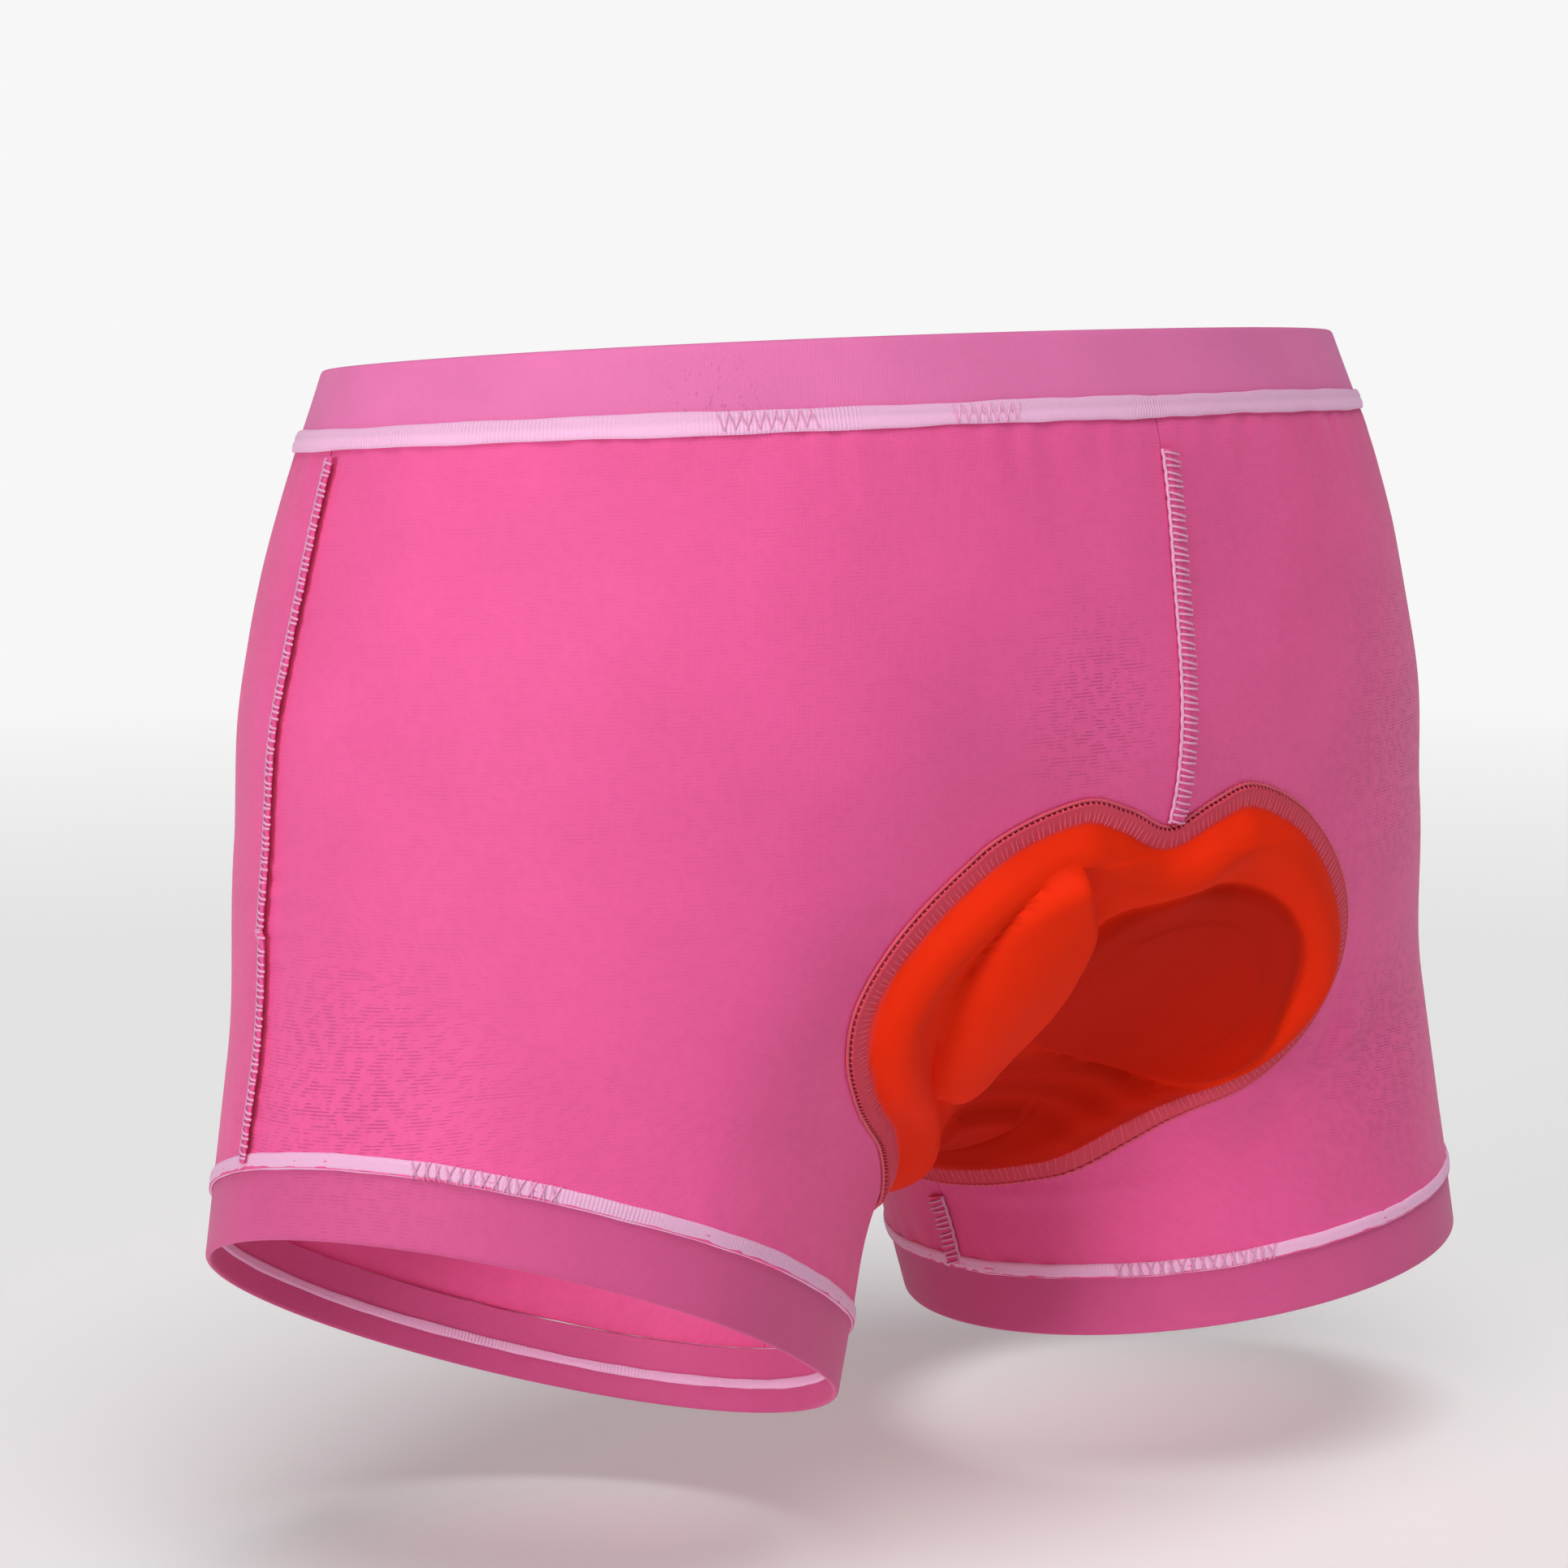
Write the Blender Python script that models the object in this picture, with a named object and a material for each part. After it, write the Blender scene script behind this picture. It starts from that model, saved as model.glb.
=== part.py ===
"""Padded cycling shorts turned inside out, in the rounded hollow form they have when worn.

Units are metres and +Z is up. The wearer faces -Y, and the wearer's left is +X.
The origin is the middle of the waist, level with the waistband's top edge at the sides.
The cloth follows a plain figure: a trunk and two legs, each a rounded form with smooth blends.
"""

from math import atan2, cos, pi, radians, sin, tan

import bpy
import numpy as np
from mathutils import Vector
from mathutils.bvhtree import BVHTree

# Cloth
GAP = 0.0003            # clear space between two pieces at a seam
PANEL_WALL = 0.0012     # double-faced knit of the body panels
WAIST_WALL = 0.0022     # folded waistband
LEG_BAND_WALL = 0.0018  # folded leg band
WAIST_BAND = 0.020      # height of the waistband
LEG_BAND = 0.019        # height of a leg band

# Trunk: half width, and depth behind and in front of the middle, from the waist down
TRUNK_COLUMNS = ("height", "half_width", "back", "front")
TRUNK = (
    (0.020, 0.1570, 0.1105, 0.1000),
    (-0.022, 0.1600, 0.1240, 0.1030),
    (-0.060, 0.1600, 0.1295, 0.1060),
    (-0.100, 0.1715, 0.1328, 0.1060),
    (-0.130, 0.1685, 0.1292, 0.1010),
)
TRUNK_POWER = 2.15      # 2 is an ellipse, more is squarer
SEAT_HEIGHT = -0.130    # the trunk rounds under below this height
SEAT_DEPTH = 0.0836     # height of the rounded underside
FORK_CENTRE_Y = 0.002
WAIST_TILT = radians(4.1)  # the waist is higher at the back

# Legs: half widths across and front to back at the hip and at the hem
HIP = (0.088, 0.0026, -0.090)
HIP_RADII = (0.0909, 0.1008)
LEG_COLUMNS = ("side", "hem_x", "hem_y", "hem_z", "across", "deep", "rise_out", "rise_back")
LEGS = (
    (1, 0.1200, 0.0007, -0.2675, 0.0918, 0.0847, 24.9, 11.2),
    (-1, 0.1278, 0.0208, -0.2816, 0.0895, 0.0823, 6.0, 2.9),
)
CROTCH_BLEND = 0.030
HIP_BLEND = 0.050
FORK_SHARE = 0.35       # how far down the leg's axis the fork's rows look out from
FORK_DIP = 3.6          # how the rows dip beside the fork's seams, so that they cross them well
SIDE_SEAM_FORWARD = 0.017  # the side seams lie this far in front of each row's middle
SIDE_REACH = 0.172      # from the middle plane out to the side

# The seat is pressed in round the pad's back lobes: angles are in degrees below the seat's middle
HOLLOW_COLUMNS = ("centre", "half_width", "angle", "spread", "depth")
HOLLOWS = (
    (0.000, 0.072, 27.0, 35.0, 0.0140),
    (0.060, 0.070, 20.0, 50.0, 0.0090),
)

# Rows and columns of the cloth
TRUNK_ROWS = 7
FORK_ROWS = 12
LEG_ROWS = 5
BACK_COLUMNS = 14
FRONT_COLUMNS = 11
WAIST_ROWS = 3
LEG_BAND_ROWS = 2
CROWDING = 1.25         # columns crowd toward the centre back and centre front

# Pad: outline of one half, from the notch at its top round to the end of the tongue
PAD_TOP = 0.098         # how far below the waistband, along the centre back, its lobes begin
PAD_LIFT = 0.0006       # clear space between pad and panels
PAD_OUTLINE_COLUMNS = ("half_width", "along")
PAD_OUTLINE = (
    (0.000, 0.009),
    (0.016, 0.003),
    (0.033, 0.000),
    (0.059, 0.011),
    (0.081, 0.032),
    (0.092, 0.052),
    (0.091, 0.068),
    (0.082, 0.084),
    (0.072, 0.097),
    (0.057, 0.113),
    (0.0435, 0.132),
    (0.037, 0.152),
    (0.0355, 0.170),
    (0.038, 0.188),
    (0.042, 0.208),
    (0.0430, 0.235),
    (0.0360, 0.256),
    (0.0210, 0.271),
    (0.000, 0.277),
)
PAD_SPINE = (0.042, 0.245)
PAD_LINES = 54
PAD_RINGS = (0.0, 0.12, 0.24, 0.36, 0.47, 0.57, 0.66, 0.74, 0.81, 0.87, 0.92, 0.965, 1.0)

# Pad relief, as heights over the panels
EDGE_THICK = 0.0018
BORDER_THICK = 0.0048
RIM_RISE = 0.0040
RIM_INSET = 0.013
TONGUE_THICK = 0.0036
LOBE_COLUMNS = ("side", "rise")
LOBES = ((1, 0.0085), (-1, 0.0042))
LOBE_SHIFT = 0.012      # the fold between the lobes lies this far to the left
LOBE_BIG = (0.041, 0.047, 0.033)     # across, along and radius of the wide end
LOBE_SMALL = (0.006, 0.110, 0.005)   # and of the narrow end
CUSHION_COLUMNS = ("start", "end", "half_start", "half_end", "rise")
CUSHIONS = (
    (0.119, 0.156, 0.017, 0.017, 0.0032),
    (0.160, 0.210, 0.013, 0.029, 0.0036),
)

MATERIAL_COLUMNS = ("name", "colour", "roughness")
MATERIALS = (
    ("knit_pink", (0.863, 0.136, 0.376), 0.55),
    ("knit_waist", (0.716, 0.188, 0.402), 0.60),
    ("knit_band", (0.640, 0.110, 0.280), 0.60),
    ("pad_orange", (0.900, 0.045, 0.022), 0.50),
)


def column(table, names, name):
    """Gives one named column of a table as an array."""
    return np.array([row[names.index(name)] for row in table], dtype=float)


def soft_min(a, b, blend):
    """Gives the smaller of two values, rounded over where they meet."""
    share = np.maximum(blend - np.abs(a - b), 0) / blend
    return np.minimum(a, b) - share * share * blend / 4


def ease(t):
    """Runs smoothly from 0 to 1."""
    t = np.clip(t, 0, 1)
    return t * t * (3 - 2 * t)


def through(table, names, name, height):
    """Reads a smooth curve through one column of a table against its heights."""
    heights = column(table, names, "height")[::-1]
    values = column(table, names, name)[::-1]
    slopes = np.gradient(values, heights)
    height = np.clip(height, heights[0], heights[-1])
    i = np.clip(np.searchsorted(heights, height) - 1, 0, len(heights) - 2)
    span = heights[i + 1] - heights[i]
    t = (height - heights[i]) / span
    start = (2 * t**3 - 3 * t**2 + 1) * values[i] + (t**3 - 2 * t**2 + t) * span * slopes[i]
    end = (3 * t**2 - 2 * t**3) * values[i + 1] + (t**3 - t**2) * span * slopes[i + 1]
    return start + end


def unit(v):
    """Scales vectors to length 1."""
    return v / np.maximum(np.linalg.norm(v, axis=-1, keepdims=True), 1e-12)


def trunk_field(p):
    """Gives the distance outside the trunk, negative inside."""
    x, y, z = p[..., 0], p[..., 1], p[..., 2]
    level = np.maximum(z, SEAT_HEIGHT)
    half = through(TRUNK, TRUNK_COLUMNS, "half_width", level)
    back = through(TRUNK, TRUNK_COLUMNS, "back", level)
    front = through(TRUNK, TRUNK_COLUMNS, "front", level)
    deep = np.where(y > 0, back, front)
    under = np.minimum(z - SEAT_HEIGHT, 0)
    n = TRUNK_POWER
    ratio = (np.abs(x / half) ** n + np.abs(y / deep) ** n + np.abs(under / SEAT_DEPTH) ** n) ** (1 / n)
    reach = np.sqrt(x * x + y * y + under * under) + 1e-9
    return reach * (1 - 1 / np.maximum(ratio, 1e-6))


def leg_ends(side):
    """Gives the hip and hem centres of a leg, and its row in the table."""
    row = dict(zip(LEG_COLUMNS, next(leg for leg in LEGS if leg[0] == side)))
    hip = np.array((side * HIP[0], HIP[1], HIP[2]))
    hem = np.array((side * row["hem_x"], row["hem_y"], row["hem_z"]))
    return hip, hem, row


def leg_field(p, side):
    """Gives the distance outside a leg, which tapers from the hip to the hem."""
    hip, hem, row = leg_ends(side)
    axis = unit(hem - hip)
    length = np.linalg.norm(hem - hip)
    across = unit(np.array((1.0, 0, 0)) - axis * axis[0])
    deep = np.cross(axis, across)
    q = p - hip
    down = q @ axis
    t = np.clip(down / length, -0.1, 1.6)
    half_across = HIP_RADII[0] + (row["across"] - HIP_RADII[0]) * t
    half_deep = HIP_RADII[1] + (row["deep"] - HIP_RADII[1]) * t
    a, b, above = q @ across, q @ deep, np.minimum(down, 0)
    ratio = np.sqrt((a / half_across) ** 2 + (b / half_deep) ** 2 + (above / half_across) ** 2)
    reach = np.sqrt(a * a + b * b + above * above) + 1e-9
    return reach * (1 - 1 / np.maximum(ratio, 1e-6))


def seat_hollow(p):
    """Gives how far the seat is pressed in, strongest at the middle of each hollow."""
    angle = np.degrees(np.arctan2(SEAT_HEIGHT - p[..., 2], p[..., 1] - FORK_CENTRE_Y))
    pressed = 0.0
    for centre, half_width, middle, spread, depth in HOLLOWS:
        u = np.clip(np.abs(p[..., 0] - centre) / half_width, 0, 1)
        w = np.clip(np.abs(angle - middle) / spread, 0, 1)
        pressed = pressed + depth * (1 - u * u) ** 2 * (1 - w * w) ** 2
    return pressed


def field(p):
    """Gives the distance outside the whole figure."""
    legs = soft_min(leg_field(p, 1), leg_field(p, -1), CROTCH_BLEND)
    return soft_min(legs, trunk_field(p), HIP_BLEND) + seat_hollow(p)


def normals(p, step=0.0004):
    """Gives the figure's outward directions at points on its surface."""
    axes = np.eye(3) * step
    return unit(np.stack([field(p + axis) - field(p - axis) for axis in axes], axis=-1))


def cast(origin, direction, reach=0.30, steps=40):
    """Finds where rays from inside the figure leave it."""
    direction = unit(np.asarray(direction, dtype=float))
    origin = np.broadcast_to(origin, direction.shape)
    stops = np.linspace(0, reach, steps)
    outside = np.stack([field(origin + direction * t) > 0 for t in stops])
    first = np.where(outside.any(axis=0), outside.argmax(axis=0), steps - 1)
    low, high = stops[np.maximum(first - 1, 0)], stops[first]
    for _ in range(24):
        middle = (low + high) / 2
        inside = field(origin + direction * middle[..., None]) < 0
        low, high = np.where(inside, middle, low), np.where(inside, high, middle)
    return origin + direction * ((low + high) / 2)[..., None]


def settle(p):
    """Moves points that are close to the figure's surface onto it."""
    for _ in range(3):
        p = p - normals(p) * field(p)[..., None]
    return p


def column_shares():
    """Gives each column's share of the way from centre back round to centre front."""
    back = 0.5 * (np.arange(BACK_COLUMNS + 1) / BACK_COLUMNS) ** CROWDING
    front = 1 - 0.5 * (np.arange(FRONT_COLUMNS)[::-1] / FRONT_COLUMNS) ** CROWDING
    return np.concatenate((back, front))


def ring(side, origin, start, end, slope):
    """Finds one row of cloth around a half, by looking out from a point on its axis."""
    share = column_shares()
    middle = pi / 2 + atan2(SIDE_SEAM_FORWARD, max(SIDE_REACH - abs(origin[0]), 0.08))
    to_side = start + (middle - start) * share / 0.5
    from_side = middle + (end - middle) * (share - 0.5) / 0.5
    turn = np.where(share < 0.5, to_side, from_side)
    rise = slope(turn, share)
    return cast(origin, np.stack((side * np.sin(turn), np.cos(turn), rise), axis=-1))


def trunk_row(side, height):
    """Finds a row that runs round the trunk, tilted with the waist."""
    tilt = tan(WAIST_TILT) * (1 - height / SEAT_HEIGHT)
    return ring(side, np.array((0, 0, height)), 0, pi, lambda turn, share: tilt * np.cos(turn))


def fade(share, dip):
    """Falls from 1 at the fork's seams to 0 at the side seam, first rising if there is a dip."""
    t = np.abs(share / 0.5 - 1)
    return (1 + dip * (1 - t)) * t**2


def fork_row(side, j):
    """Finds a row under the trunk, whose ends meet the centre seam further and further down."""
    hip, hem, _ = leg_ends(side)
    angle = (pi / 2) * j / FORK_ROWS
    centre = np.array((0, FORK_CENTRE_Y, SEAT_HEIGHT))
    ends = cast(centre, np.array(((0, cos(angle), -sin(angle)), (0, -cos(angle), -sin(angle)))))
    share_down = j / FORK_ROWS
    low_origin = hip + (hem - hip) * FORK_SHARE
    origin = np.array((0, 0, SEAT_HEIGHT)) * (1 - share_down) + low_origin * share_down
    back, front = ends - origin
    start = atan2(side * back[0], back[1])
    end = atan2(side * front[0], front[1])
    start = start if start < 1 else start - 2 * pi
    end = end if end > 0 else end + 2 * pi
    back_slope = back[2] / np.hypot(back[0], back[1])
    front_slope = front[2] / np.hypot(front[0], front[1])

    def slope(turn, share):
        return np.where(share < 0.5, back_slope, front_slope) * fade(share, FORK_DIP * share_down)

    row = ring(side, origin, start, end, slope)
    row[0], row[-1] = ends
    return row, back_slope


def leg_rows(side, crotch_slope, count=10):
    """Finds rows down the leg, from just below the fork to the tilted hem."""
    hip, hem, table = leg_ends(side)
    top = hip + (hem - hip) * FORK_SHARE
    rise_out, rise_back = tan(radians(table["rise_out"])), tan(radians(table["rise_back"]))
    rows = []
    for j in range(1, count + 1):
        w = j / count

        def slope(turn, share):
            plane = rise_out * np.sin(turn) + rise_back * np.cos(turn)
            return (1 - w) * crotch_slope * fade(share, FORK_DIP) + w * plane

        rows.append(ring(side, top + (hem - top) * w, -pi / 2, 3 * pi / 2, slope))
    return rows


def at_distances(rows, distances):
    """Reads points at given distances above the last row, along each column."""
    rows = np.array(rows)[::-1]
    steps = np.linalg.norm(np.diff(rows, axis=0), axis=-1)
    run = np.concatenate((np.zeros((1, rows.shape[1])), np.cumsum(steps, axis=0)))
    found = np.empty((len(distances), rows.shape[1], 3))
    for c in range(rows.shape[1]):
        for axis in range(3):
            found[:, c, axis] = np.interp(distances[:, c], run[:, c], rows[:, c, axis])
    return settle(found), run[-1]


def half_rows(side):
    """Gives the panel rows of one half, the number of the crotch row, and the leg band's rows."""
    heights = np.linspace(-WAIST_BAND - GAP / 2, SEAT_HEIGHT, TRUNK_ROWS + 1)
    rows = [trunk_row(side, height) for height in heights]
    for j in range(1, FORK_ROWS + 1):
        row, slope = fork_row(side, j)
        rows.append(row)
    crotch = len(rows) - 1
    down = [rows[-1]] + leg_rows(side, slope)
    _, total = at_distances(down, np.zeros((1, len(rows[0]))))
    seam = LEG_BAND + GAP / 2
    shares = np.linspace(1, 0, LEG_ROWS + 1)[1:, None]
    leg, _ = at_distances(down, seam + (total - seam) * shares)
    shares = np.linspace(1, 0, LEG_BAND_ROWS + 1)[:, None]
    band, _ = at_distances(down, (LEG_BAND - GAP / 2) * shares * np.ones(len(total)))
    return np.array(rows + list(leg)), crotch, band


def seam_shift(line, facing, inward):
    """Gives the small move that takes a seam's points half a gap into one panel."""
    along = unit(np.gradient(line, axis=0))
    across = unit(np.cross(facing, along))
    toward = np.sum(across * inward, axis=-1, keepdims=True)
    return np.where(toward < 0, -across, across) * GAP / 2


def open_seam(grid, facing, edge, neighbour, corner):
    """Moves a panel's edge column half a gap inward, turning the corner at the crotch."""
    line, out = grid[:, edge], facing[:, edge]
    inward = grid[:, neighbour] - line
    move = np.zeros_like(line)
    pieces = (slice(0, corner + 1), slice(corner, None)) if corner else (slice(None),)
    for piece in pieces:
        move[piece] += seam_shift(line[piece], out[piece], inward[piece])
    return line + move


def add_material(name):
    """Makes the plain material of a slot."""
    colour, roughness = next(row[1:] for row in MATERIALS if row[0] == name)
    material = bpy.data.materials.new(name)
    material.use_nodes = True
    shader = material.node_tree.nodes["Principled BSDF"]
    shader.inputs["Base Color"].default_value = (*colour, 1)
    shader.inputs["Roughness"].default_value = roughness
    shader.inputs["Metallic"].default_value = 0.0
    return material


def add_solid(name, points, faces, material):
    """Makes one closed object and turns its faces outward."""
    mesh = bpy.data.meshes.new(name)
    mesh.from_pydata([tuple(p) for p in points], [], faces)
    mesh.materials.append(material)
    mesh.shade_smooth()
    mesh.set_sharp_from_angle(angle=radians(45))
    corners = np.array([points[list(face)[:3]] for face in faces])
    volume = np.einsum("ij,ij->i", corners[:, 0], np.cross(corners[:, 1], corners[:, 2])).sum()
    if volume < 0:
        mesh.flip_normals()
    bpy.context.scene.collection.objects.link(bpy.data.objects.new(name, mesh))


def grid_faces(rows, columns, closed, start=0):
    """Gives the triangles of a grid, wrapped round if it is closed."""
    faces = []
    for i in range(rows - 1):
        for j in range(columns if closed else columns - 1):
            k = (j + 1) % columns
            a, b = start + i * columns + j, start + i * columns + k
            c, d = a + columns, b + columns
            faces += [(a, b, d), (a, d, c)]
    return faces


def boundary(rows, columns, closed):
    """Gives the loops of point numbers around a grid's open edges."""
    top = [j for j in range(columns)]
    bottom = [(rows - 1) * columns + j for j in range(columns)]
    if closed:
        return [top, bottom[::-1]]
    right = [i * columns + columns - 1 for i in range(1, rows - 1)]
    left = [i * columns for i in range(rows - 2, 0, -1)]
    return [top + right + bottom[::-1] + left]


def add_cloth(name, outer, facing, wall, material, closed=False):
    """Makes a wall of cloth from its outer points and their outward directions."""
    rows, columns = outer.shape[:2]
    count = rows * columns
    points = np.concatenate((outer.reshape(-1, 3), (outer - facing * wall).reshape(-1, 3)))
    faces = grid_faces(rows, columns, closed)
    faces += [tuple(reversed(face)) for face in grid_faces(rows, columns, closed, count)]
    for loop in boundary(rows, columns, closed):
        for a, b in zip(loop, loop[1:] + loop[:1]):
            faces += [(b, a, a + count), (b, a + count, b + count)]
    add_solid(name, points, faces, material)


def whole_ring(left, right):
    """Joins the rows of the two halves into rows that run all the way round."""
    return np.concatenate((left, right[:, -2:0:-1]), axis=1)


def centre_line(step=0.002):
    """Follows the centre seam from the centre back under the fork to the centre front."""
    heights = np.linspace(-WAIST_BAND, SEAT_HEIGHT, 40)
    angles = np.linspace(0, pi, 120)
    lower = np.array((0, FORK_CENTRE_Y, SEAT_HEIGHT))
    down = [cast(np.array((0, 0, z)), np.array((0, 1.0, 0))) for z in heights[:-1]]
    under = [cast(lower, np.array((0, cos(a), -sin(a)))) for a in angles]
    line = np.array(down + under)
    run = np.concatenate(((0,), np.cumsum(np.linalg.norm(np.diff(line, axis=0), axis=1))))
    stops = np.arange(0, run[-1], step)
    return stops, np.stack([np.interp(stops, run, line[:, axis]) for axis in range(3)], axis=-1)


def lay_across(start, along, side, step=0.002, count=52):
    """Walks sideways over the figure from the centre seam, staying square to it."""
    rows = [start]
    heading = np.zeros_like(start) + np.array((side, 0, 0))
    for _ in range(count):
        p = rows[-1] + heading * step
        for _ in range(3):
            slope = normals(p)
            slope = slope - np.sum(slope * along, axis=-1, keepdims=True) * along
            size = np.maximum(np.sum(slope * slope, axis=-1), 1e-6)
            p = p - slope * (field(p) / size)[:, None]
        heading = unit(p - rows[-1])
        rows.append(p)
    return np.array(rows)


def outline_curve(count):
    """Gives evenly spaced points on a smooth curve through half of the pad's outline."""
    half = column(PAD_OUTLINE, PAD_OUTLINE_COLUMNS, "half_width")
    along = column(PAD_OUTLINE, PAD_OUTLINE_COLUMNS, "along")
    p = np.stack((half, along), axis=-1)
    before, after = p[1] * (-1, 1), p[-2] * (-1, 1)
    q = np.concatenate((before[None], p, after[None]))
    t = np.linspace(0, 1, 12, endpoint=False)[:, None]
    curve = []
    for a, b, c, d in zip(q, q[1:], q[2:], q[3:]):
        bend = (2 * a - 5 * b + 4 * c - d) * t**2 + (3 * b - a - 3 * c + d) * t**3
        curve.append(b + 0.5 * ((c - a) * t + bend))
    curve = np.concatenate(curve + [p[-1:]])
    run = np.concatenate(((0,), np.cumsum(np.linalg.norm(np.diff(curve, axis=0), axis=1))))
    stops = np.linspace(0, run[-1], count)
    return np.stack([np.interp(stops, run, curve[:, axis]) for axis in range(2)], axis=-1)


def lobe_depth(across, along):
    """Gives how far inside a back lobe a point lies: a wide circle narrowing to a small one."""
    big, small = np.array(LOBE_BIG), np.array(LOBE_SMALL)
    step = small[:2] - big[:2]
    offset = np.stack((across - big[0], along - big[1]), axis=-1)
    t = np.clip(offset @ step / (step @ step), 0, 1)
    away = np.linalg.norm(offset - t[..., None] * step, axis=-1)
    return big[2] + (small[2] - big[2]) * t - away


def pad_thickness(across, along, inset):
    """Gives the pad's thickness at a point of its flat plan, `inset` from its edge."""
    rear = 1 - ease((along - 0.100) / 0.060)
    tongue = ease((along - 0.205) / 0.020)
    plain = BORDER_THICK + (TONGUE_THICK - BORDER_THICK) * tongue
    thick = EDGE_THICK + (plain - EDGE_THICK) * np.sqrt(ease(inset / 0.010))
    thick = thick + RIM_RISE * rear * np.exp(-((inset - RIM_INSET) / 0.006) ** 2)
    shift = LOBE_SHIFT * rear * ease((along - 0.010) / 0.030)
    for side, rise in LOBES:
        depth = lobe_depth(side * (across - shift), along)
        room = ease((inset - 0.016) / 0.008)
        thick = thick + rise * ease(depth / 0.008) * room
    valley = np.exp(-((across - shift) / 0.0045) ** 2) * ease((along - 0.040) / 0.015)
    thick = thick - 0.0020 * valley * (1 - ease((along - 0.110) / 0.008))
    for start, end, half_start, half_end, rise in CUSHIONS:
        t = np.clip((along - start) / (end - start), 0, 1)
        side_room = half_start + (half_end - half_start) * t - np.abs(across)
        room = np.minimum(np.minimum(along - start, end - along), side_room)
        thick = thick + rise * ease(room / 0.005)
    return thick


def panel_facets(halves):
    """Gives the body panels' outer faces as one skin without gaps."""
    points, faces = [], []
    for rows, _, _ in halves:
        start = sum(len(p) for p in points)
        points.append(rows.reshape(-1, 3))
        faces += grid_faces(rows.shape[0], rows.shape[1], False, start)
    skin = np.concatenate(points)
    return BVHTree.FromPolygons([Vector(p) for p in skin], faces)


def lay_on(skin, p, facing, search=0.010):
    """Drops points onto the panels' faces."""
    found = []
    for point, out in zip(p, facing):
        start = Vector(point + out * search)
        hit = skin.ray_cast(start, Vector(-out), 2 * search)[0]
        if hit is None:
            hit = skin.ray_cast(start + Vector((1e-5, 1e-5, 0)), Vector(-out), 2 * search)[0]
        found.append(np.array(hit) if hit is not None else point)
    return np.array(found)


def add_pad(halves, material):
    """Makes the moulded pad, laid over the seat and through the fork on the panels."""
    stops, line = centre_line()
    along = unit(np.gradient(line, axis=0))
    sheets = {side: lay_across(line, along, side) for side in (1, -1)}
    width_step, length_step = 0.002, stops[1] - stops[0]

    def on_figure(across, down):
        sheet = sheets[1 if across >= 0 else -1]
        u = min(abs(across) / width_step, len(sheet) - 1.001)
        v = (PAD_TOP + down) / length_step
        i, j = int(u), int(v)
        s, t = u - i, v - j
        near = sheet[i, j] * (1 - t) + sheet[i, j + 1] * t
        far = sheet[i + 1, j] * (1 - t) + sheet[i + 1, j + 1] * t
        return near * (1 - s) + far * s

    outline = outline_curve(PAD_LINES)
    spine = np.clip(outline[:, 1], *PAD_SPINE)
    plan, inset, number = [], [], {}
    for line_number, ((half, end), root) in enumerate(zip(outline, spine)):
        for side in (1, -1):
            for k, share in enumerate(PAD_RINGS):
                centred = half < 1e-6 or k == 0
                if centred and side == -1:
                    number[line_number, side, k] = number[line_number, 1, k]
                    continue
                same_root = line_number and spine[line_number - 1] == root
                if k == 0 and same_root:
                    number[line_number, side, k] = number[line_number - 1, 1, 0]
                    continue
                number[line_number, side, k] = len(plan)
                plan.append((side * half * share, root + (end - root) * share))
                inset.append((1 - share) * np.hypot(half, end - root))
    plan, inset = np.array(plan), np.array(inset)
    base = settle(np.array([on_figure(*spot) for spot in plan]))
    facing = normals(base)
    under = lay_on(panel_facets(halves), base, facing) + facing * PAD_LIFT
    over = under + facing * pad_thickness(plan[:, 0], plan[:, 1], inset)[:, None]
    count, rings = len(plan), len(PAD_RINGS)
    top = []
    for i in range(PAD_LINES - 1):
        for side in (1, -1):
            for k in range(rings - 1):
                corners = [number[i, side, k], number[i, side, k + 1],
                           number[i + 1, side, k + 1], number[i + 1, side, k]]
                corners = corners if side == 1 else corners[::-1]
                a, b, c, d = corners
                for face in ((a, b, c), (a, c, d)):
                    if len(set(face)) == 3:
                        top.append(face)
    faces = top + [tuple(n + count for n in reversed(face)) for face in top]
    rim = [number[i, 1, rings - 1] for i in range(PAD_LINES)]
    rim += [number[i, -1, rings - 1] for i in range(PAD_LINES - 2, 0, -1)]
    for a, b in zip(rim, rim[1:] + rim[:1]):
        faces += [(b, a, a + count), (b, a + count, b + count)]
    add_solid("pad", np.concatenate((over, under)), faces, material)


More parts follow.
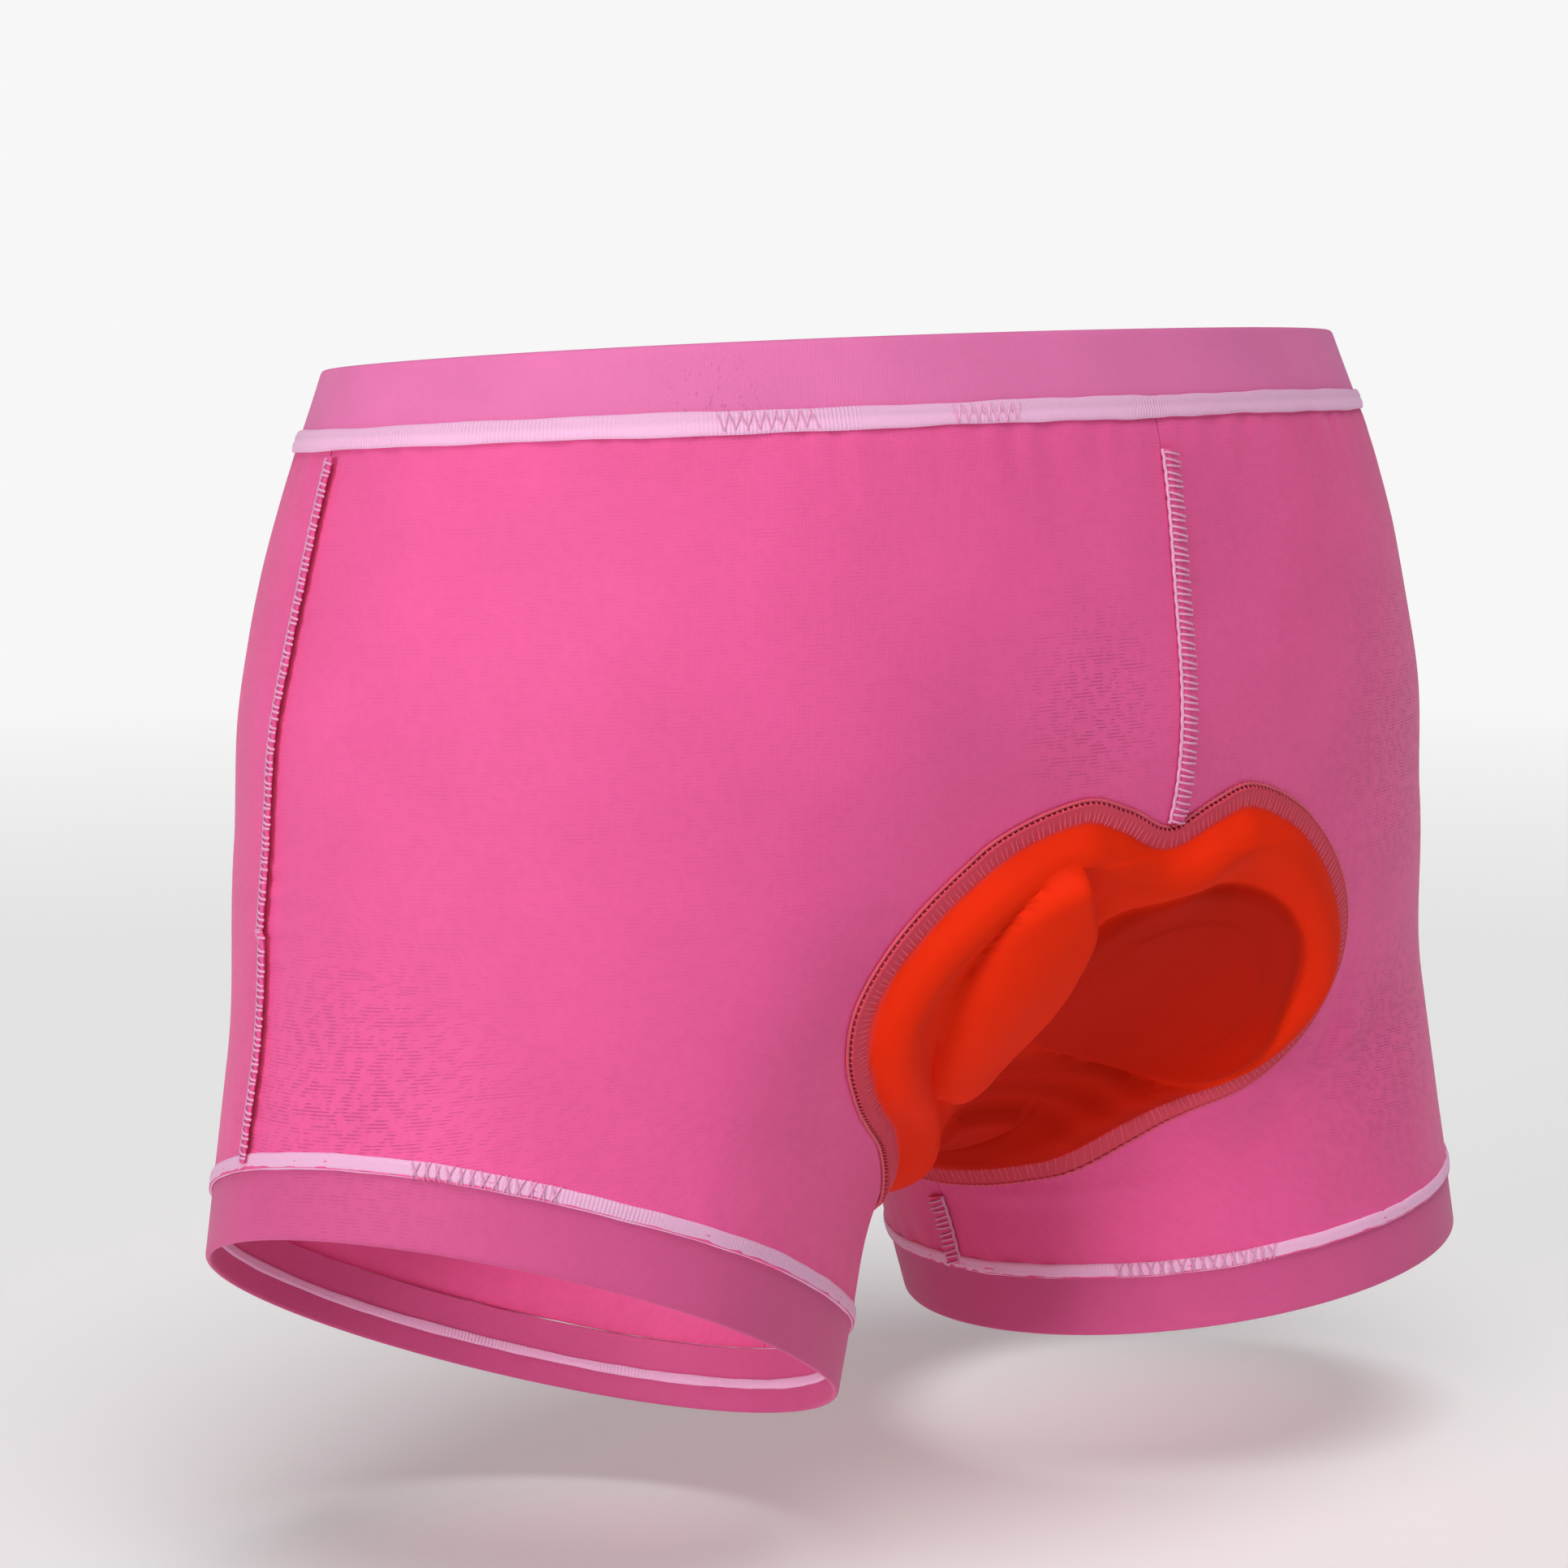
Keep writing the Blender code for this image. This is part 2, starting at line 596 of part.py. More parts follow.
def build():
    """Clears the scene and makes every piece of the shorts."""
    for old in list(bpy.data.objects):
        bpy.data.objects.remove(old, do_unlink=True)
    slots = {row[0]: add_material(row[0]) for row in MATERIALS}

    heights = np.linspace(0, -WAIST_BAND + GAP / 2, WAIST_ROWS + 1)
    waist = [np.array([trunk_row(side, z) for z in heights]) for side in (1, -1)]
    waist = whole_ring(*waist)
    add_cloth("waistband", waist, normals(waist), WAIST_WALL, slots["knit_waist"], closed=True)

    halves = [half_rows(side) for side in (1, -1)]
    for (rows, crotch, band), name in zip(halves, ("left", "right")):
        facing = normals(rows)
        middle = BACK_COLUMNS
        for piece, first, last in (("back", 0, middle), ("front", middle, rows.shape[1] - 1)):
            grid = rows[:, first:last + 1].copy()
            out = facing[:, first:last + 1]
            width = last - first
            centre, side = (0, width) if piece == "back" else (width, 0)
            inner = 1 if centre == 0 else width - 1
            beside = width - 1 if side == width else 1
            centre_edge = open_seam(grid, out, centre, inner, crotch)
            side_edge = open_seam(grid, out, side, beside, 0)
            grid[:, centre], grid[:, side] = centre_edge, side_edge
            add_cloth(f"{piece}_{name}", grid, out, PANEL_WALL, slots["knit_pink"])
        band = band[:, :-1]
        add_cloth(f"leg_band_{name}", band, normals(band), LEG_BAND_WALL, slots["knit_band"], closed=True)
    add_pad(halves, slots["pad_orange"])


build()
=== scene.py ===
"""Padded cycling shorts turned inside out: knit, sewn pad, tapes, overlocked seams and a plain stage.

Units are metres and +Z is up. The wearer faces -Y, and the wearer's left is +X.
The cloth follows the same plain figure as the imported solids, with finer rows and small relief.
"""

from functools import lru_cache
from math import atan2, cos, pi, radians, sin, tan

import bpy
import numpy as np
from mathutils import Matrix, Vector


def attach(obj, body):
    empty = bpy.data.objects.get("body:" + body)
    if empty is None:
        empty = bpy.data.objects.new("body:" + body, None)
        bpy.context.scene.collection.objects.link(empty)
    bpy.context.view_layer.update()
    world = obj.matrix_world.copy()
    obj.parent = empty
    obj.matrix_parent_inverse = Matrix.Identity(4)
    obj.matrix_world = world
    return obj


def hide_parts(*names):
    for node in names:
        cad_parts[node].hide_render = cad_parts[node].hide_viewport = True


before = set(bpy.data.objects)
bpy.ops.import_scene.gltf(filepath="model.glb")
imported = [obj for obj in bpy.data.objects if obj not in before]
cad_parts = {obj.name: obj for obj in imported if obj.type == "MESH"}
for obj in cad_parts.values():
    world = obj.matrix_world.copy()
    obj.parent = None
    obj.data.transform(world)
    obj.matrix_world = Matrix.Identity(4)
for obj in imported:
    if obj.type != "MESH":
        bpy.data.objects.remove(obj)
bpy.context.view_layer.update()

bl_info = {
    "name": "Padded Cycling Shorts",
    "version": (1, 0, 0),
    "blender": (4, 5, 0),
    "location": "View3D > Sidebar > Shorts",
    "description": "Makes inside-out padded cycling shorts and their studio stage",
    "category": "Object",
}

# Cloth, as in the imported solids
GAP = 0.0003
WAIST_BAND = 0.020
LEG_BAND = 0.019

# Trunk: half width, and depth behind and in front of the middle, from the waist down
TRUNK_COLUMNS = ("height", "half_width", "back", "front")
TRUNK = (
    (0.020, 0.1570, 0.1105, 0.1000),
    (-0.022, 0.1600, 0.1240, 0.1030),
    (-0.060, 0.1600, 0.1295, 0.1060),
    (-0.100, 0.1715, 0.1328, 0.1060),
    (-0.130, 0.1685, 0.1292, 0.1010),
)
TRUNK_POWER = 2.15
SEAT_HEIGHT = -0.130
SEAT_DEPTH = 0.0836
FORK_CENTRE_Y = 0.002
WAIST_TILT = radians(4.1)

# Legs: half widths across and front to back at the hip and at the hem
HIP = (0.088, 0.0026, -0.090)
HIP_RADII = (0.0909, 0.1008)
LEG_COLUMNS = ("side", "hem_x", "hem_y", "hem_z", "across", "deep", "rise_out", "rise_back")
LEGS = (
    (1, 0.1200, 0.0007, -0.2675, 0.0918, 0.0847, 24.9, 11.2),
    (-1, 0.1278, 0.0208, -0.2816, 0.0895, 0.0823, 6.0, 2.9),
)
CROTCH_BLEND = 0.030
HIP_BLEND = 0.050
FORK_SHARE = 0.35
FORK_DIP = 3.6
SIDE_SEAM_FORWARD = 0.017
SIDE_REACH = 0.172

# The seat is pressed in under the pad's back lobes: angles are in degrees below the seat's middle
HOLLOW_COLUMNS = ("centre", "half_width", "angle", "spread", "depth")
HOLLOWS = (
    (0.000, 0.072, 27.0, 35.0, 0.0140),
    (0.060, 0.070, 20.0, 50.0, 0.0090),
)

# Rows and columns of the cloth
TRUNK_ROWS = 46
FORK_ROWS = 46
LEG_ROWS = 44
BACK_COLUMNS = 92
FRONT_COLUMNS = 78
CROWDING = 1.15

# Folds of the cloth: points along each, its width, and its height (below 0 for a hollow)
FOLD_COLUMNS = ("width", "height", "points")
FOLDS = (
    (0.0050, 0.0011, ((-0.090, 0.110, -0.180), (-0.108, 0.105, -0.196), (-0.103, 0.103, -0.212))),
    (0.0045, -0.0012, ((-0.095, 0.111, -0.172), (-0.099, 0.105, -0.195), (-0.090, 0.101, -0.211))),
    (0.0035, 0.0008, ((-0.027, 0.009, -0.246), (-0.032, 0.041, -0.246), (-0.050, 0.073, -0.241),
                      (-0.072, 0.091, -0.235))),
    (0.0050, -0.0010, ((-0.089, 0.101, -0.211), (-0.080, 0.096, -0.225), (-0.067, 0.089, -0.231))),
    (0.0100, -0.0012, ((0.040, 0.120, -0.150), (0.080, 0.118, -0.160), (0.104, 0.108, -0.190))),
    (0.0090, 0.0010, ((0.150, 0.070, -0.090), (0.120, 0.098, -0.105), (0.085, 0.118, -0.112))),
    (0.0080, -0.0010, ((0.030, -0.100, -0.120), (0.070, -0.100, -0.150), (0.110, -0.085, -0.165))),
    (0.0080, -0.0009, ((-0.030, -0.100, -0.125), (-0.075, -0.098, -0.150), (-0.120, -0.080, -0.160))),
    (0.0060, 0.0010, ((0.040, -0.085, -0.190), (0.075, -0.088, -0.205), (0.110, -0.080, -0.215))),
    (0.0060, 0.0009, ((-0.045, -0.080, -0.195), (-0.080, -0.082, -0.215), (-0.110, -0.072, -0.225))),
    (0.0090, -0.0008, ((-0.150, -0.050, -0.090), (-0.130, -0.075, -0.110), (-0.100, -0.092, -0.118))),
    (0.0100, -0.0009, ((0.175, -0.020, -0.110), (0.180, 0.010, -0.130), (0.168, 0.050, -0.150))),
)

# Places where the knit shows its pinholes or its rows more strongly
ZONE_COLUMNS = ("kind", "x", "y", "z", "radius")
ZONES = (
    ("pin", 0.125, 0.085, -0.008, 0.022),
    ("pin", -0.075, 0.112, -0.040, 0.028),
    ("pin", -0.020, 0.125, -0.112, 0.022),
    ("pin", -0.100, 0.112, -0.110, 0.030),
    ("pin", 0.075, -0.020, -0.290, 0.045),
    ("pin", -0.110, -0.080, -0.060, 0.030),
    ("row", -0.120, 0.100, -0.110, 0.075),
    ("row", -0.130, 0.090, -0.200, 0.060),
    ("row", 0.190, 0.020, -0.190, 0.060),
    ("row", 0.030, 0.130, -0.090, 0.035),
    ("row", -0.080, -0.090, -0.130, 0.060),
    ("row", 0.100, -0.080, -0.100, 0.050),
)

# Pad: outline of one half, from the notch at its top round to the end of the tongue
PAD_TOP = 0.098
PAD_LIFT = 0.0004
PAD_OUTLINE_COLUMNS = ("half_width", "along")
PAD_OUTLINE = (
    (0.000, 0.009),
    (0.016, 0.003),
    (0.033, 0.000),
    (0.059, 0.011),
    (0.081, 0.032),
    (0.092, 0.052),
    (0.091, 0.068),
    (0.082, 0.084),
    (0.072, 0.097),
    (0.057, 0.113),
    (0.0435, 0.132),
    (0.037, 0.152),
    (0.0355, 0.170),
    (0.038, 0.188),
    (0.042, 0.208),
    (0.0430, 0.235),
    (0.0360, 0.256),
    (0.0210, 0.271),
    (0.000, 0.277),
)
PAD_SPINE = (0.042, 0.245)
PAD_LINES = 190
PAD_RINGS = 64

# Pad relief: border, rim, lobes and cushions
# Painted shade: the dark red painted over the far back lobe and the folded middle below the lobes, where the
# hollow is in shade
PAD_PAINTED_SHADE_COLOUR = (0.520, 0.011, 0.0015)
BORDER = 0.0052
BORDER_THICK = 0.0014
BODY_THICK = 0.0046
TONGUE_THICK = 0.0036
RIM_RISE = 0.0042
RIM_INSET = 0.0145
FAR_LOBE = {"across": -0.024, "along": 0.062, "half_across": 0.047, "half_along": 0.0365}
NEAR_LOBE = {"inner": 0.0235, "across": 0.0435, "along": 0.058, "half_along": 0.047, "reach": 0.0385}
CUSHION_COLUMNS = ("start", "end", "half_start", "half_end", "rise")
CUSHIONS = (
    (0.119, 0.156, 0.017, 0.017, 0.0032),
    (0.160, 0.210, 0.013, 0.029, 0.0036),
)

# Overlocked seams: from the seam line the allowance lies to one side
STITCH_STEP = 0.0018
ALLOWANCE = 0.0050
SEAM_SPACING = 0.0012
INSEAM_START = 0.044

# Each overlocked seam: the side its allowance lies to, and how far its outer edge stands up
SEAM_COLUMNS = ("name", "way", "stand")
SEAMS = (
    ("centre_back", 1, 0.0002),
    ("centre_front", -1, 0.0002),
    ("side_left", 1, 0.0016),
    ("side_right", -1, 0.0012),
    ("inseam_left", 1, 0.0006),
    ("inseam_right", -1, 0.0006),
)

# A narrow tape inside each leg band, and the threads that cross the outer tapes
INNER_TAPE_HEIGHT = 0.0085
INNER_TAPE_WIDTH = 0.0028
CROSS_THREAD_STEP = 0.0015
CROSS_THREAD_RADIUS = 0.00022

# Where loose cross threads show on the tapes
STITCHED_COLUMNS = ("tape", "x", "y", "z", "reach")
STITCHED = (
    ("waist_tape", 0.112, 0.090, -0.014, 0.014),
    ("waist_tape", 0.058, 0.113, -0.012, 0.011),
    ("hem_tape_left", 0.183, 0.062, -0.208, 0.021),
    ("hem_tape_right", -0.066, 0.081, -0.262, 0.023),
)

CAMERA_PLACE = (0.8232, 0.8686, 0.0299)
CAMERA_AIM = (0.0104, -0.0126, -0.1260)
CAMERA_LENS = 95.05
KEY_FROM = (0.97, 0.10, 0.10)
TOP_FROM = (0.24, 0.34, 0.91)
BACKDROP = 0.93


def column(table, names, name):
    """Gives one named column of a table as an array."""
    return np.array([row[names.index(name)] for row in table], dtype=float)


def soft_min(a, b, blend):
    """Gives the smaller of two values, rounded over where they meet."""
    share = np.maximum(blend - np.abs(a - b), 0) / blend
    return np.minimum(a, b) - share * share * blend / 4


def ease(t):
    """Runs smoothly from 0 to 1."""
    t = np.clip(t, 0, 1)
    return t * t * (3 - 2 * t)


def bump(distance, width):
    """Gives a round bump, 1 at no distance and fading over its width."""
    return np.exp(-((distance / width) ** 2))


def unit(v):
    """Scales vectors to length 1."""
    return v / np.maximum(np.linalg.norm(v, axis=-1, keepdims=True), 1e-12)


def run_along(points):
    """Gives the distance run at each point of a line."""
    steps = np.linalg.norm(np.diff(points, axis=0), axis=-1)
    return np.concatenate((np.zeros((1,) + steps.shape[1:]), np.cumsum(steps, axis=0)))


def unevenness(share, phase, counts=(5, 13, 29)):
    """Gives a soft irregular wave from -1 to 1 that closes on itself when share runs from 0 to 1."""
    weights = (0.5, 0.3, 0.2)
    waves = [w * np.sin(2 * pi * n * share + phase * (1.7 + n)) for w, n in zip(weights, counts)]
    return sum(waves)


def through(table, names, name, height):
    """Reads a smooth curve through one column of a table against its heights."""
    heights = column(table, names, "height")[::-1]
    values = column(table, names, name)[::-1]
    slopes = np.gradient(values, heights)
    height = np.clip(height, heights[0], heights[-1])
    i = np.clip(np.searchsorted(heights, height) - 1, 0, len(heights) - 2)
    span = heights[i + 1] - heights[i]
    t = (height - heights[i]) / span
    start = (2 * t**3 - 3 * t**2 + 1) * values[i] + (t**3 - 2 * t**2 + t) * span * slopes[i]
    end = (3 * t**2 - 2 * t**3) * values[i + 1] + (t**3 - t**2) * span * slopes[i + 1]
    return start + end


def trunk_field(p):
    """Gives the distance outside the trunk, negative inside."""
    x, y, z = p[..., 0], p[..., 1], p[..., 2]
    level = np.maximum(z, SEAT_HEIGHT)
    half = through(TRUNK, TRUNK_COLUMNS, "half_width", level)
    back = through(TRUNK, TRUNK_COLUMNS, "back", level)
    front = through(TRUNK, TRUNK_COLUMNS, "front", level)
    deep = np.where(y > 0, back, front)
    under = np.minimum(z - SEAT_HEIGHT, 0)
    n = TRUNK_POWER
    ratio = (np.abs(x / half) ** n + np.abs(y / deep) ** n + np.abs(under / SEAT_DEPTH) ** n) ** (1 / n)
    reach = np.sqrt(x * x + y * y + under * under) + 1e-9
    return reach * (1 - 1 / np.maximum(ratio, 1e-6))


def leg_ends(side):
    """Gives the hip and hem centres of a leg, and its row in the table."""
    row = dict(zip(LEG_COLUMNS, next(leg for leg in LEGS if leg[0] == side)))
    hip = np.array((side * HIP[0], HIP[1], HIP[2]))
    hem = np.array((side * row["hem_x"], row["hem_y"], row["hem_z"]))
    return hip, hem, row


def leg_field(p, side):
    """Gives the distance outside a leg, which tapers from the hip to the hem."""
    hip, hem, row = leg_ends(side)
    axis = unit(hem - hip)
    length = np.linalg.norm(hem - hip)
    across = unit(np.array((1.0, 0, 0)) - axis * axis[0])
    deep = np.cross(axis, across)
    q = p - hip
    down = q @ axis
    t = np.clip(down / length, -0.1, 1.6)
    half_across = HIP_RADII[0] + (row["across"] - HIP_RADII[0]) * t
    half_deep = HIP_RADII[1] + (row["deep"] - HIP_RADII[1]) * t
    a, b, above = q @ across, q @ deep, np.minimum(down, 0)
    ratio = np.sqrt((a / half_across) ** 2 + (b / half_deep) ** 2 + (above / half_across) ** 2)
    reach = np.sqrt(a * a + b * b + above * above) + 1e-9
    return reach * (1 - 1 / np.maximum(ratio, 1e-6))


def seat_hollow(p):
    """Gives how far the seat is pressed in, strongest at the middle of the pad's lobes."""
    angle = np.degrees(np.arctan2(SEAT_HEIGHT - p[..., 2], p[..., 1] - FORK_CENTRE_Y))
    pressed = 0.0
    for centre, half_width, middle, spread, depth in HOLLOWS:
        u = np.clip(np.abs(p[..., 0] - centre) / half_width, 0, 1)
        w = np.clip(np.abs(angle - middle) / spread, 0, 1)
        pressed = pressed + depth * (1 - u * u) ** 2 * (1 - w * w) ** 2
    return pressed


def field(p):
    """Gives the distance outside the whole figure."""
    legs = soft_min(leg_field(p, 1), leg_field(p, -1), CROTCH_BLEND)
    return soft_min(legs, trunk_field(p), HIP_BLEND) + seat_hollow(p)


def normals(p, step=0.0004):
    """Gives the figure's outward directions at points on its surface."""
    axes = np.eye(3) * step
    return unit(np.stack([field(p + axis) - field(p - axis) for axis in axes], axis=-1))


def cast(origin, direction, reach=0.30, steps=30):
    """Finds where rays from inside the figure leave it."""
    direction = unit(np.asarray(direction, dtype=float))
    origin = np.broadcast_to(origin, direction.shape)
    stops = np.linspace(0, reach, steps)
    outside = np.stack([field(origin + direction * t) > 0 for t in stops])
    first = np.where(outside.any(axis=0), outside.argmax(axis=0), steps - 1)
    low, high = stops[np.maximum(first - 1, 0)], stops[first]
    for _ in range(20):
        middle = (low + high) / 2
        inside = field(origin + direction * middle[..., None]) < 0
        low, high = np.where(inside, middle, low), np.where(inside, high, middle)
    return origin + direction * ((low + high) / 2)[..., None]


def settle(p):
    """Moves points that are close to the figure's surface onto it."""
    for _ in range(3):
        p = p - normals(p) * field(p)[..., None]
    return p


def fold_height(p):
    """Gives how far the folds lift the cloth at each point."""
    lift = np.zeros(p.shape[:-1])
    for width, height, points in FOLDS:
        line = np.array(points)
        total = run_along(line)[-1]
        best = np.full(p.shape[:-1], 1.0)
        place = np.zeros(p.shape[:-1])
        for k, (a, b) in enumerate(zip(line, line[1:])):
            step = b - a
            t = np.clip((p - a) @ step / (step @ step), 0, 1)
            away = np.linalg.norm(p - a - t[..., None] * step, axis=-1)
            nearer = away < best
            best = np.where(nearer, away, best)
            place = np.where(nearer, run_along(line)[k] + t * np.linalg.norm(step), place)
        ends = ease(place / (0.35 * total)) * ease((total - place) / (0.35 * total))
        lift = lift + height * bump(best, width) * ends
    return lift


def lay(p, lift=0.0):
    """Puts points on the folded cloth, raised by a small lift."""
    p = settle(p)
    height = np.asarray(fold_height(p) + lift)
    return p + normals(p) * height[..., None]


def column_shares():
    """Gives each column's share of the way from centre back round to centre front."""
    back = 0.5 * (np.arange(BACK_COLUMNS + 1) / BACK_COLUMNS) ** CROWDING
    front = 1 - 0.5 * (np.arange(FRONT_COLUMNS)[::-1] / FRONT_COLUMNS) ** CROWDING
    return np.concatenate((back, front))


def ring(side, origin, start, end, slope):
    """Finds one row of cloth around a half, by looking out from a point on its axis."""
    share = column_shares()
    middle = pi / 2 + atan2(SIDE_SEAM_FORWARD, max(SIDE_REACH - abs(origin[0]), 0.08))
    to_side = start + (middle - start) * share / 0.5
    from_side = middle + (end - middle) * (share - 0.5) / 0.5
    turn = np.where(share < 0.5, to_side, from_side)
    rise = slope(turn, share)
    return cast(origin, np.stack((side * np.sin(turn), np.cos(turn), rise), axis=-1))


def trunk_row(side, height):
    """Finds a row that runs round the trunk, tilted with the waist."""
    tilt = tan(WAIST_TILT) * (1 - height / SEAT_HEIGHT)
    return ring(side, np.array((0, 0, height)), 0, pi, lambda turn, share: tilt * np.cos(turn))


def fade(share, dip):
    """Falls from 1 at the fork's seams to 0 at the side seam, first rising if there is a dip."""
    t = np.abs(share / 0.5 - 1)
    return (1 + dip * (1 - t)) * t**2


def fork_row(side, j):
    """Finds a row under the trunk, whose ends meet the centre seam further and further down."""
    hip, hem, _ = leg_ends(side)
    angle = (pi / 2) * j / FORK_ROWS
    centre = np.array((0, FORK_CENTRE_Y, SEAT_HEIGHT))
    ends = cast(centre, np.array(((0, cos(angle), -sin(angle)), (0, -cos(angle), -sin(angle)))))
    share_down = j / FORK_ROWS
    low_origin = hip + (hem - hip) * FORK_SHARE
    origin = np.array((0, 0, SEAT_HEIGHT)) * (1 - share_down) + low_origin * share_down
    back, front = ends - origin
    start = atan2(side * back[0], back[1])
    end = atan2(side * front[0], front[1])
    start = start if start < 1 else start - 2 * pi
    end = end if end > 0 else end + 2 * pi
    back_slope = back[2] / np.hypot(back[0], back[1])
    front_slope = front[2] / np.hypot(front[0], front[1])

    def slope(turn, share):
        return np.where(share < 0.5, back_slope, front_slope) * fade(share, FORK_DIP * share_down)

    row = ring(side, origin, start, end, slope)
    row[0], row[-1] = ends
    return row, back_slope


def leg_rows(side, crotch_slope, count=16):
    """Finds rows down the leg, from just below the fork to the tilted hem."""
    hip, hem, table = leg_ends(side)
    top = hip + (hem - hip) * FORK_SHARE
    rise_out, rise_back = tan(radians(table["rise_out"])), tan(radians(table["rise_back"]))
    rows = []
    for j in range(1, count + 1):
        w = j / count

        def slope(turn, share):
            plane = rise_out * np.sin(turn) + rise_back * np.cos(turn)
            return (1 - w) * crotch_slope * fade(share, FORK_DIP) + w * plane

        rows.append(ring(side, top + (hem - top) * w, -pi / 2, 3 * pi / 2, slope))
    return rows


def at_distances(rows, distances):
    """Reads points at given distances above the last row, along each column."""
    rows = np.array(rows)[::-1]
    run = run_along(rows)
    found = np.empty((len(distances), rows.shape[1], 3))
    for c in range(rows.shape[1]):
        for axis in range(3):
            found[:, c, axis] = np.interp(distances[:, c], run[:, c], rows[:, c, axis])
    return settle(found)


@lru_cache(maxsize=None)
def half_rows(side):
    """Gives the panel rows of one half, the number of its crotch row, and the rows of its leg."""
    heights = np.linspace(-WAIST_BAND - GAP / 2, SEAT_HEIGHT, TRUNK_ROWS + 1)
    rows = [trunk_row(side, height) for height in heights]
    for j in range(1, FORK_ROWS + 1):
        row, slope = fork_row(side, j)
        rows.append(row)
    crotch = len(rows) - 1
    down = np.array([rows[-1]] + leg_rows(side, slope))
    total = run_along(down)[-1]
    seam = LEG_BAND + GAP / 2
    shares = np.linspace(1, 0, LEG_ROWS + 1)[1:, None]
    leg = at_distances(down, seam + (total - seam) * shares)
    return np.array(rows + list(leg)), crotch, down


def hem_ring(side, distance):
    """Gives a closed ring round a leg at a distance above its hem."""
    down = half_rows(side)[2]
    return at_distances(down, np.full((1, down.shape[1]), distance))[0][:-1]


def waist_ring(distance):
    """Gives a closed ring round the waist at a distance below its top edge."""
    left, right = trunk_row(1, -distance), trunk_row(-1, -distance)
    return np.concatenate((left, right[-2:0:-1]))


@lru_cache(maxsize=None)
def centre_line(step=0.002):
    """Follows the centre seam from the centre back under the fork to the centre front."""
    heights = np.linspace(-WAIST_BAND, SEAT_HEIGHT, 40)
    angles = np.linspace(0, pi, 120)
    lower = np.array((0, FORK_CENTRE_Y, SEAT_HEIGHT))
    down = [cast(np.array((0, 0, z)), np.array((0, 1.0, 0))) for z in heights[:-1]]
    under = [cast(lower, np.array((0, cos(a), -sin(a)))) for a in angles]
    line = np.array(down + under)
    run = run_along(line)
    stops = np.arange(0, run[-1], step)
    return stops, np.stack([np.interp(stops, run, line[:, axis]) for axis in range(3)], axis=-1)


@lru_cache(maxsize=None)
def sideways_sheets(step=0.002, count=54):
    """Walks sideways over the figure from the centre seam, staying square to it."""
    _, line = centre_line()
    along = unit(np.gradient(line, axis=0))
    sheets = []
    for side in (1, -1):
        rows = [line]
        heading = np.zeros_like(line) + np.array((side, 0, 0))
        for _ in range(count):
            p = rows[-1] + heading * step
            for _ in range(3):
                slope = normals(p)
                slope = slope - np.sum(slope * along, axis=-1, keepdims=True) * along
                size = np.maximum(np.sum(slope * slope, axis=-1), 1e-6)
                p = p - slope * (field(p) / size)[:, None]
            heading = unit(p - rows[-1])
            rows.append(p)
        sheets.append(np.array(rows))
    return np.array(sheets), step


def on_seat(plan):
    """Finds the places on the figure for points of the pad's flat plan."""
    sheets, step = sideways_sheets()
    stops, _ = centre_line()
    which = np.where(plan[:, 0] >= 0, 0, 1)
    u = np.clip(np.abs(plan[:, 0]) / step, 0, sheets.shape[1] - 1.001)
    v = np.clip((PAD_TOP + plan[:, 1]) / (stops[1] - stops[0]), 0, sheets.shape[2] - 1.001)
    i, j = u.astype(int), v.astype(int)
    s, t = (u - i)[:, None], (v - j)[:, None]
    near = sheets[which, i, j] * (1 - t) + sheets[which, i, j + 1] * t
    far = sheets[which, i + 1, j] * (1 - t) + sheets[which, i + 1, j + 1] * t
    return near * (1 - s) + far * s


def outline_curve(count):
    """Gives evenly spaced points on a smooth curve through half of the pad's outline."""
    half = column(PAD_OUTLINE, PAD_OUTLINE_COLUMNS, "half_width")
    along = column(PAD_OUTLINE, PAD_OUTLINE_COLUMNS, "along")
    p = np.stack((half, along), axis=-1)
    before, after = p[1] * (-1, 1), p[-2] * (-1, 1)
    q = np.concatenate((before[None], p, after[None]))
    t = np.linspace(0, 1, 12, endpoint=False)[:, None]
    curve = []
    for a, b, c, d in zip(q, q[1:], q[2:], q[3:]):
        bend = (2 * a - 5 * b + 4 * c - d) * t**2 + (3 * b - a - 3 * c + d) * t**3
        curve.append(b + 0.5 * ((c - a) * t + bend))
    curve = np.concatenate(curve + [p[-1:]])
    run = run_along(curve)
    stops = np.linspace(0, run[-1], count)
    return np.stack([np.interp(stops, run, curve[:, axis]) for axis in range(2)], axis=-1)


def whole_outline(count):
    """Gives the pad's whole outline as a closed loop of points."""
    half = outline_curve(count)
    return np.concatenate((half, half[-2:0:-1] * (-1, 1)))


def outline_inset(plan):
    """Gives each plan point's distance inside the pad's outline."""
    loop = whole_outline(420)
    inset = np.empty(len(plan))
    for first in range(0, len(plan), 4000):
        part = plan[first:first + 4000]
        inset[first:first + 4000] = np.linalg.norm(part[:, None] - loop[None], axis=-1).min(axis=1)
    return inset


def far_lobe_depth(across, along):
    """Gives how far inside the wide back lobe a point lies."""
    u = (across - FAR_LOBE["across"]) / FAR_LOBE["half_across"]
    v = (along - FAR_LOBE["along"] + 0.10 * (across - FAR_LOBE["across"])) / FAR_LOBE["half_along"]
    size = (np.abs(u) ** 2.3 + np.abs(v) ** 2.3) ** (1 / 2.3)
    return (1 - size) * FAR_LOBE["half_along"]


